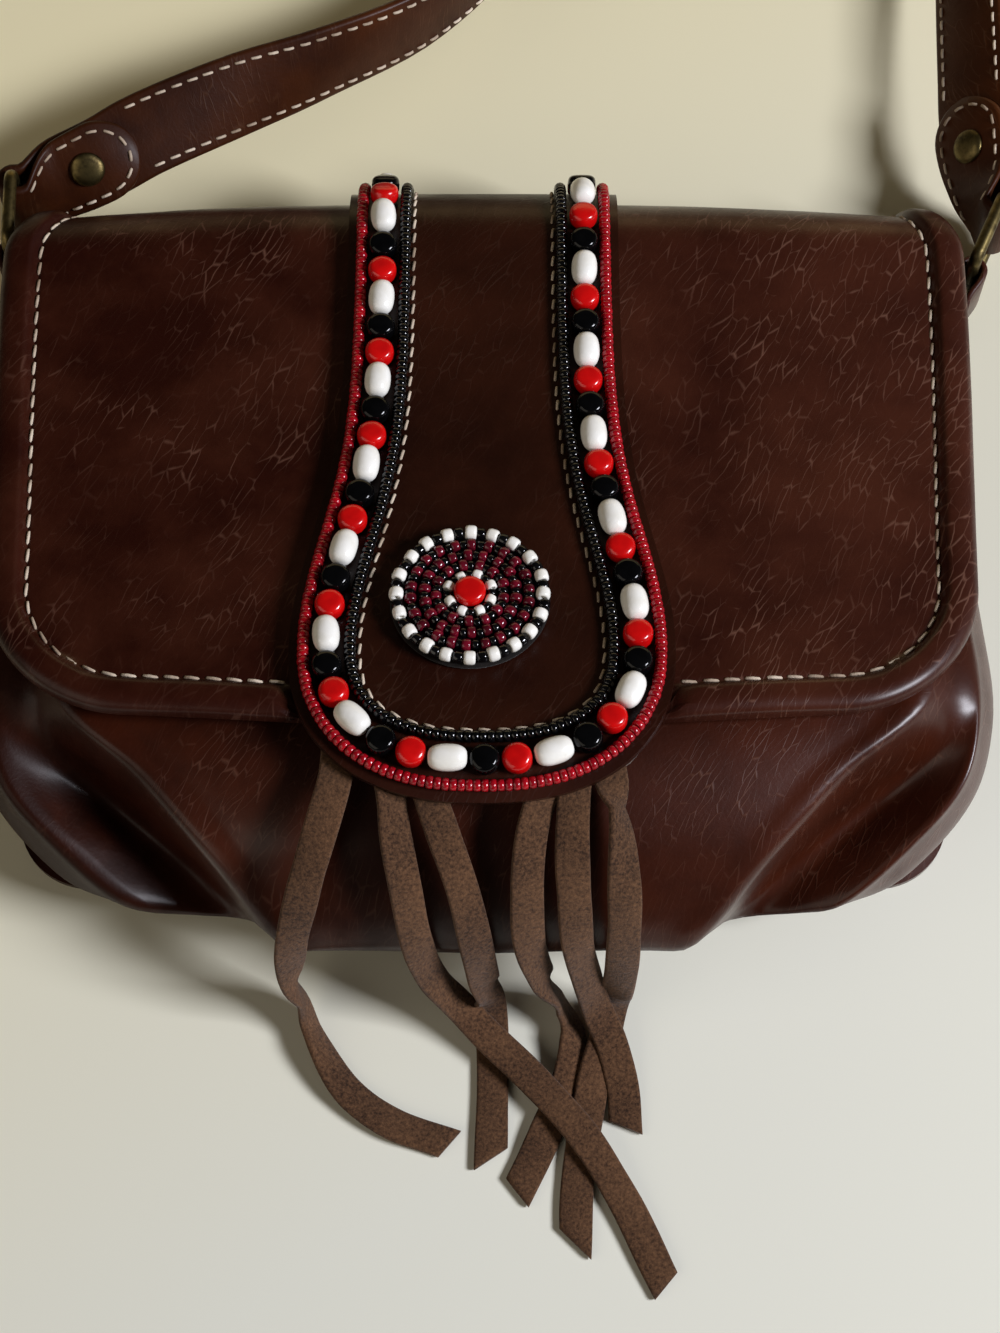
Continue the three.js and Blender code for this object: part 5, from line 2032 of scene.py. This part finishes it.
@dataclass
class Hardware:
    """Brass rings and rivets, and the leather loops that hold the rings on the bag.

    Attributes:
        strap: the strap that they hold.
        inside_width, inside_length: of a ring, along its bars and from bar to bar.
        corner: radius of a ring's corners, at the middle of the wire.
        height: of the rings' middles over the table.
        bar_x: where the bar on the bag's side lies.
        loop_bore, loop_slack: radius of a loop's hole for the bar, and how much wider the loop goes.
        loop_seam, loop_open: half of the gap between its layers, and where they part.
        tail: x and y of its end on the pouch.
        washer: radius and height of a rivet's rear cap, from its middle outwards.
        cap_edge: how far the domed cap's lower edge is cut off, inwards and upwards.
        cap_from: share of a quarter turn at which the dome starts.
        cap_powers: roundness of the dome, sideways and upwards; 1 is a circle.
    """

    strap: Strap
    wire: float = 3.4
    inside_width: float = 25.0
    inside_length: float = 17.0
    corner: float = 2.6
    corner_points: int = 8
    wire_sides: int = 18
    height: float = 16.5
    bar_x: dict[Side, float] = field(default_factory=lambda: {Side.LEFT: -123.2, Side.RIGHT: 127.0})
    loop_width: float = 17.0
    loop_leather: float = 1.7
    loop_bore: float = 2.1
    loop_slack: float = 0.2
    loop_seam: float = 0.08
    loop_open: float = 9.0
    loop_points: tuple[int, int, int] = (10, 8, 14)
    tail: Pair = (116.5, 56.0)
    rivet_distance: float = 20.0
    rivet_gap: float = 0.15
    rivet_sides: int = 32
    washer: tuple[Pair, ...] = ((0.3, 1.0), (3.2, 1.0), (4.0, 0.6), (4.0, 0.0))
    post_radius: float = 1.5
    cap_radius: float = 4.6
    cap_height: float = 1.7
    cap_edge: Pair = (0.25, 0.35)
    cap_from: float = 0.25
    cap_powers: Pair = (0.75, 0.9)
    cap_points: int = 9
    cap_tip: float = 0.02

    @property
    def spacing(self) -> float:
        """From the middle of one bar of a ring to the other."""
        return self.inside_length + self.wire

    def bars(self, side: Side) -> tuple[Array, Array]:
        """Gives the middles of a ring's two bars: in the strap's fold and in the bag's loop."""
        near = self.strap.bar(side)
        x = self.bar_x[side]
        y = near[1] - math.sqrt(self.spacing**2 - (x - near[0]) ** 2)
        return np.array([near[0], near[1], self.height]), np.array([x, y, self.height])

    def build_ring(self, side: Side) -> None:
        """Builds one ring from round wire.

        Args:
            side: the bag's side.
        """
        near, far = self.bars(side)
        middle = (near + far) / 2
        along = unit(near - far)
        out = np.cross(along, UP)
        half_length = self.spacing / 2 - self.corner
        half_width = (self.inside_width + self.wire) / 2 - self.corner
        rings = []
        for turn, (length_sign, width_sign) in enumerate(CORNERS):
            for angle in np.linspace(turn, turn + 1, self.corner_points) * math.pi / 2:
                radial = along * math.cos(angle) + UP * math.sin(angle)
                place = middle + along * (length_sign * half_length) + UP * (width_sign * half_width)
                place = place + radial * self.corner
                rings.append(ring_round(place, radial, out, self.wire / 2, self.wire / 2, self.wire_sides))
        draft = MeshDraft()
        draft.loft(rings, closed=True)
        draft.build(f"brass_ring_{side.word}", BRASS, [f"ring_{side.word}"])

    def build_loop(self, side: Side) -> None:
        """Builds one leather loop: a band from the pouch round the bar and back.

        Args:
            side: the bag's side.
        """
        bar = self.bars(side)[1]
        tail = np.array([side.value * self.tail[0], self.tail[1], self.height])
        way = unit(tail - bar)
        beside = np.cross(UP, way)
        straight_points, open_points, turn_points = self.loop_points
        radius = self.loop_bore + self.loop_leather / 2 + self.loop_slack
        near = self.loop_leather / 2 + self.loop_seam
        reach = float(np.linalg.norm(tail - bar))
        there = [(distance, near) for distance in np.linspace(reach, self.loop_open, straight_points)]
        for share in np.linspace(0, 1, open_points)[1:]:
            there.append((lerp(self.loop_open, 0, share), lerp(near, radius, smoothstep(share, 0, 1))))
        turns = np.linspace(0, math.pi, turn_points)[1:-1]
        turn = [(-radius * math.sin(angle), radius * math.cos(angle)) for angle in turns]
        back = [(distance, -offset) for distance, offset in reversed(there)]
        line = [*there, *turn, *back]
        places = np.array([bar + way * distance + beside * offset for distance, offset in line])
        ways = np.gradient(places, axis=0)
        sections = []
        for place, step in zip(places, ways):
            face = unit(np.cross(unit(step), UP))
            sections.append(band_section(place, UP, face, self.loop_width, self.loop_leather))
        draft = MeshDraft()
        draft.loft(sections)
        draft.build(f"ring_loop_{side.word}", BAG_LEATHER, [f"ring_tab_{side.word}"])

    def build_rivet(self, side: Side) -> None:
        """Builds one rivet: a domed cap on the folded end, its post and a flat cap behind.

        Args:
            side: the bag's side.
        """
        origin, direction = self.strap.end_of(side)
        here = self.strap.at(origin + direction * self.rivet_distance)
        back = -self.strap.thickness / 2 - self.rivet_gap
        front = self.strap.thickness * 1.5 + GAP + self.rivet_gap
        inwards, upwards = self.cap_edge
        wide, tall = self.cap_powers
        profile = [(radius, back - height) for radius, height in self.washer]
        profile += [(self.post_radius, back), (self.post_radius, front)]
        profile += [(self.cap_radius - inwards, front), (self.cap_radius, front + upwards)]
        for angle in np.linspace(self.cap_from, 1.0, self.cap_points) * math.pi / 2:
            radius = self.cap_radius * math.cos(angle) ** wide + self.cap_tip
            profile.append((radius, front + self.cap_height * math.sin(angle) ** tall))
        rings = []
        for radius, lift in profile:
            middle = here.middle + here.face * lift
            rings.append(ring_round(middle, here.way, here.across, radius, radius, self.rivet_sides))
        draft = MeshDraft()
        draft.loft(rings)
        draft.build(f"brass_rivet_{side.word}", BRASS, [f"rivet_{side.word}"])

    def build(self) -> None:
        """Builds rings, loops and rivets of both sides."""
        for side in Side:
            self.build_ring(side)
            self.build_loop(side)
            self.build_rivet(side)


# Studio


@dataclass(frozen=True)
class SoftBox:
    """A soft light: where it stands, what it looks at, its size, power and colour."""

    name: str
    place: Triple
    target: Triple
    size: Pair
    power: float
    colour: str

    def build(self) -> None:
        """Builds the light."""
        lamp = bpy.data.lights.new(self.name, "AREA")
        lamp.shape = "RECTANGLE"
        lamp.size, lamp.size_y = self.size
        lamp.energy = self.power
        lamp.color = linear(self.colour)[:3]
        holder = bpy.data.objects.new(self.name, lamp)
        holder.location = self.place
        holder.rotation_mode = "QUATERNION"
        holder.rotation_quaternion = (Vector(self.target) - Vector(self.place)).to_track_quat("-Z", "Y")
        bpy.context.scene.collection.objects.link(holder)


@dataclass
class Studio:
    """The table, the lights and the camera.

    Attributes:
        elevation: of the camera over the table, in degrees.
        distance: from the camera to its target, in millimetres.
        focal: focal length in pixels of the 1000 by 1333 image.
        target: the point in the middle of the image.
        clip, table_reach, table_low: in metres; table_low is how far the table lies under the bag.
    """

    elevation: float = 70.0
    distance: float = 700.0
    focal: float = 2975.0
    target: Triple = (4.2, -32.0, 58.0)
    image_height: int = 1333
    sensor: float = 36.0
    clip: Pair = (0.01, 50.0)
    table_reach: float = 6.0
    table_low: float = 0.0003
    room_colour: str = "#e2dcc8"
    room_strength: float = 0.03
    lights: tuple[SoftBox, ...] = (
        SoftBox("window", (1.7, -0.45, 1.4), (0.0, 0.0, 0.03), (0.72, 0.54), 62.5, "#f3f5ff"),
        SoftBox("wall", (0.1, 1.6, 0.4), (0.0, 0.1, 0.02), (2.0, 0.5), 3.2, "#ffe3a8"),
        SoftBox("room", (-1.7, -1.1, 1.3), (0.0, 0.0, 0.03), (2.6, 1.6), 14.0, "#fff3e2"),
    )

    def build_table(self) -> None:
        """Builds the pale table top."""
        mesh = bpy.data.meshes.new("table_top")
        reach, low = self.table_reach, -self.table_low
        corners = [(-reach, -reach, low), (reach, -reach, low), (reach, reach, low), (-reach, reach, low)]
        mesh.from_pydata(corners, [], [(0, 1, 2, 3)])
        table = bpy.data.objects.new("table_top", mesh)
        mesh.materials.append(TABLE.material())
        bpy.context.scene.collection.objects.link(table)

    def build_camera(self) -> None:
        """Builds the camera at the photograph's place."""
        angle = math.radians(self.elevation)
        look = Vector((0.0, math.cos(angle), -math.sin(angle)))
        camera = bpy.data.cameras.new("camera")
        camera.sensor_width = self.sensor
        camera.lens = camera.sensor_width * self.focal / self.image_height
        camera.clip_start, camera.clip_end = self.clip
        holder = bpy.data.objects.new("camera", camera)
        holder.location = (Vector(self.target) - look * self.distance) * MM
        holder.rotation_mode = "QUATERNION"
        holder.rotation_quaternion = look.to_track_quat("-Z", "Y")
        bpy.context.scene.collection.objects.link(holder)
        bpy.context.scene.camera = holder

    def build_world(self) -> None:
        """Builds the even light of a pale room."""
        world = bpy.data.worlds.new("room")
        world.use_nodes = True
        back = world.node_tree.nodes["Background"]
        back.inputs["Color"].default_value = linear(self.room_colour)
        back.inputs["Strength"].default_value = self.room_strength
        bpy.context.scene.world = world

    def build(self) -> None:
        """Builds table, lights, camera and room light."""
        self.build_table()
        for light in self.lights:
            light.build()
        self.build_camera()
        self.build_world()
        bpy.context.scene.view_settings.view_transform = "Standard"


def main() -> None:
    """Builds the studio and the bag, piece by piece."""
    logging.basicConfig(level=logging.INFO, format="%(name)s: %(message)s")
    Studio().build()
    Pouch().build()
    tab = Tab()
    Flap(tab).build()
    tab.build()
    SeedRow(tab, "red_seed_beads", "red_seed_string", RED_GLASS, inset=3.5, seed=1).build()
    SeedRow(tab, "black_seed_beads", "black_seed_string", BLACK_GLASS, inset=14.5, seed=2).build()
    LargeBeadRow(tab).build()
    Rosette(tab).build()
    Fringe(tab).build()
    strap = Strap()
    strap.build()
    Hardware(strap).build()


if __name__ == "__main__":
    main()
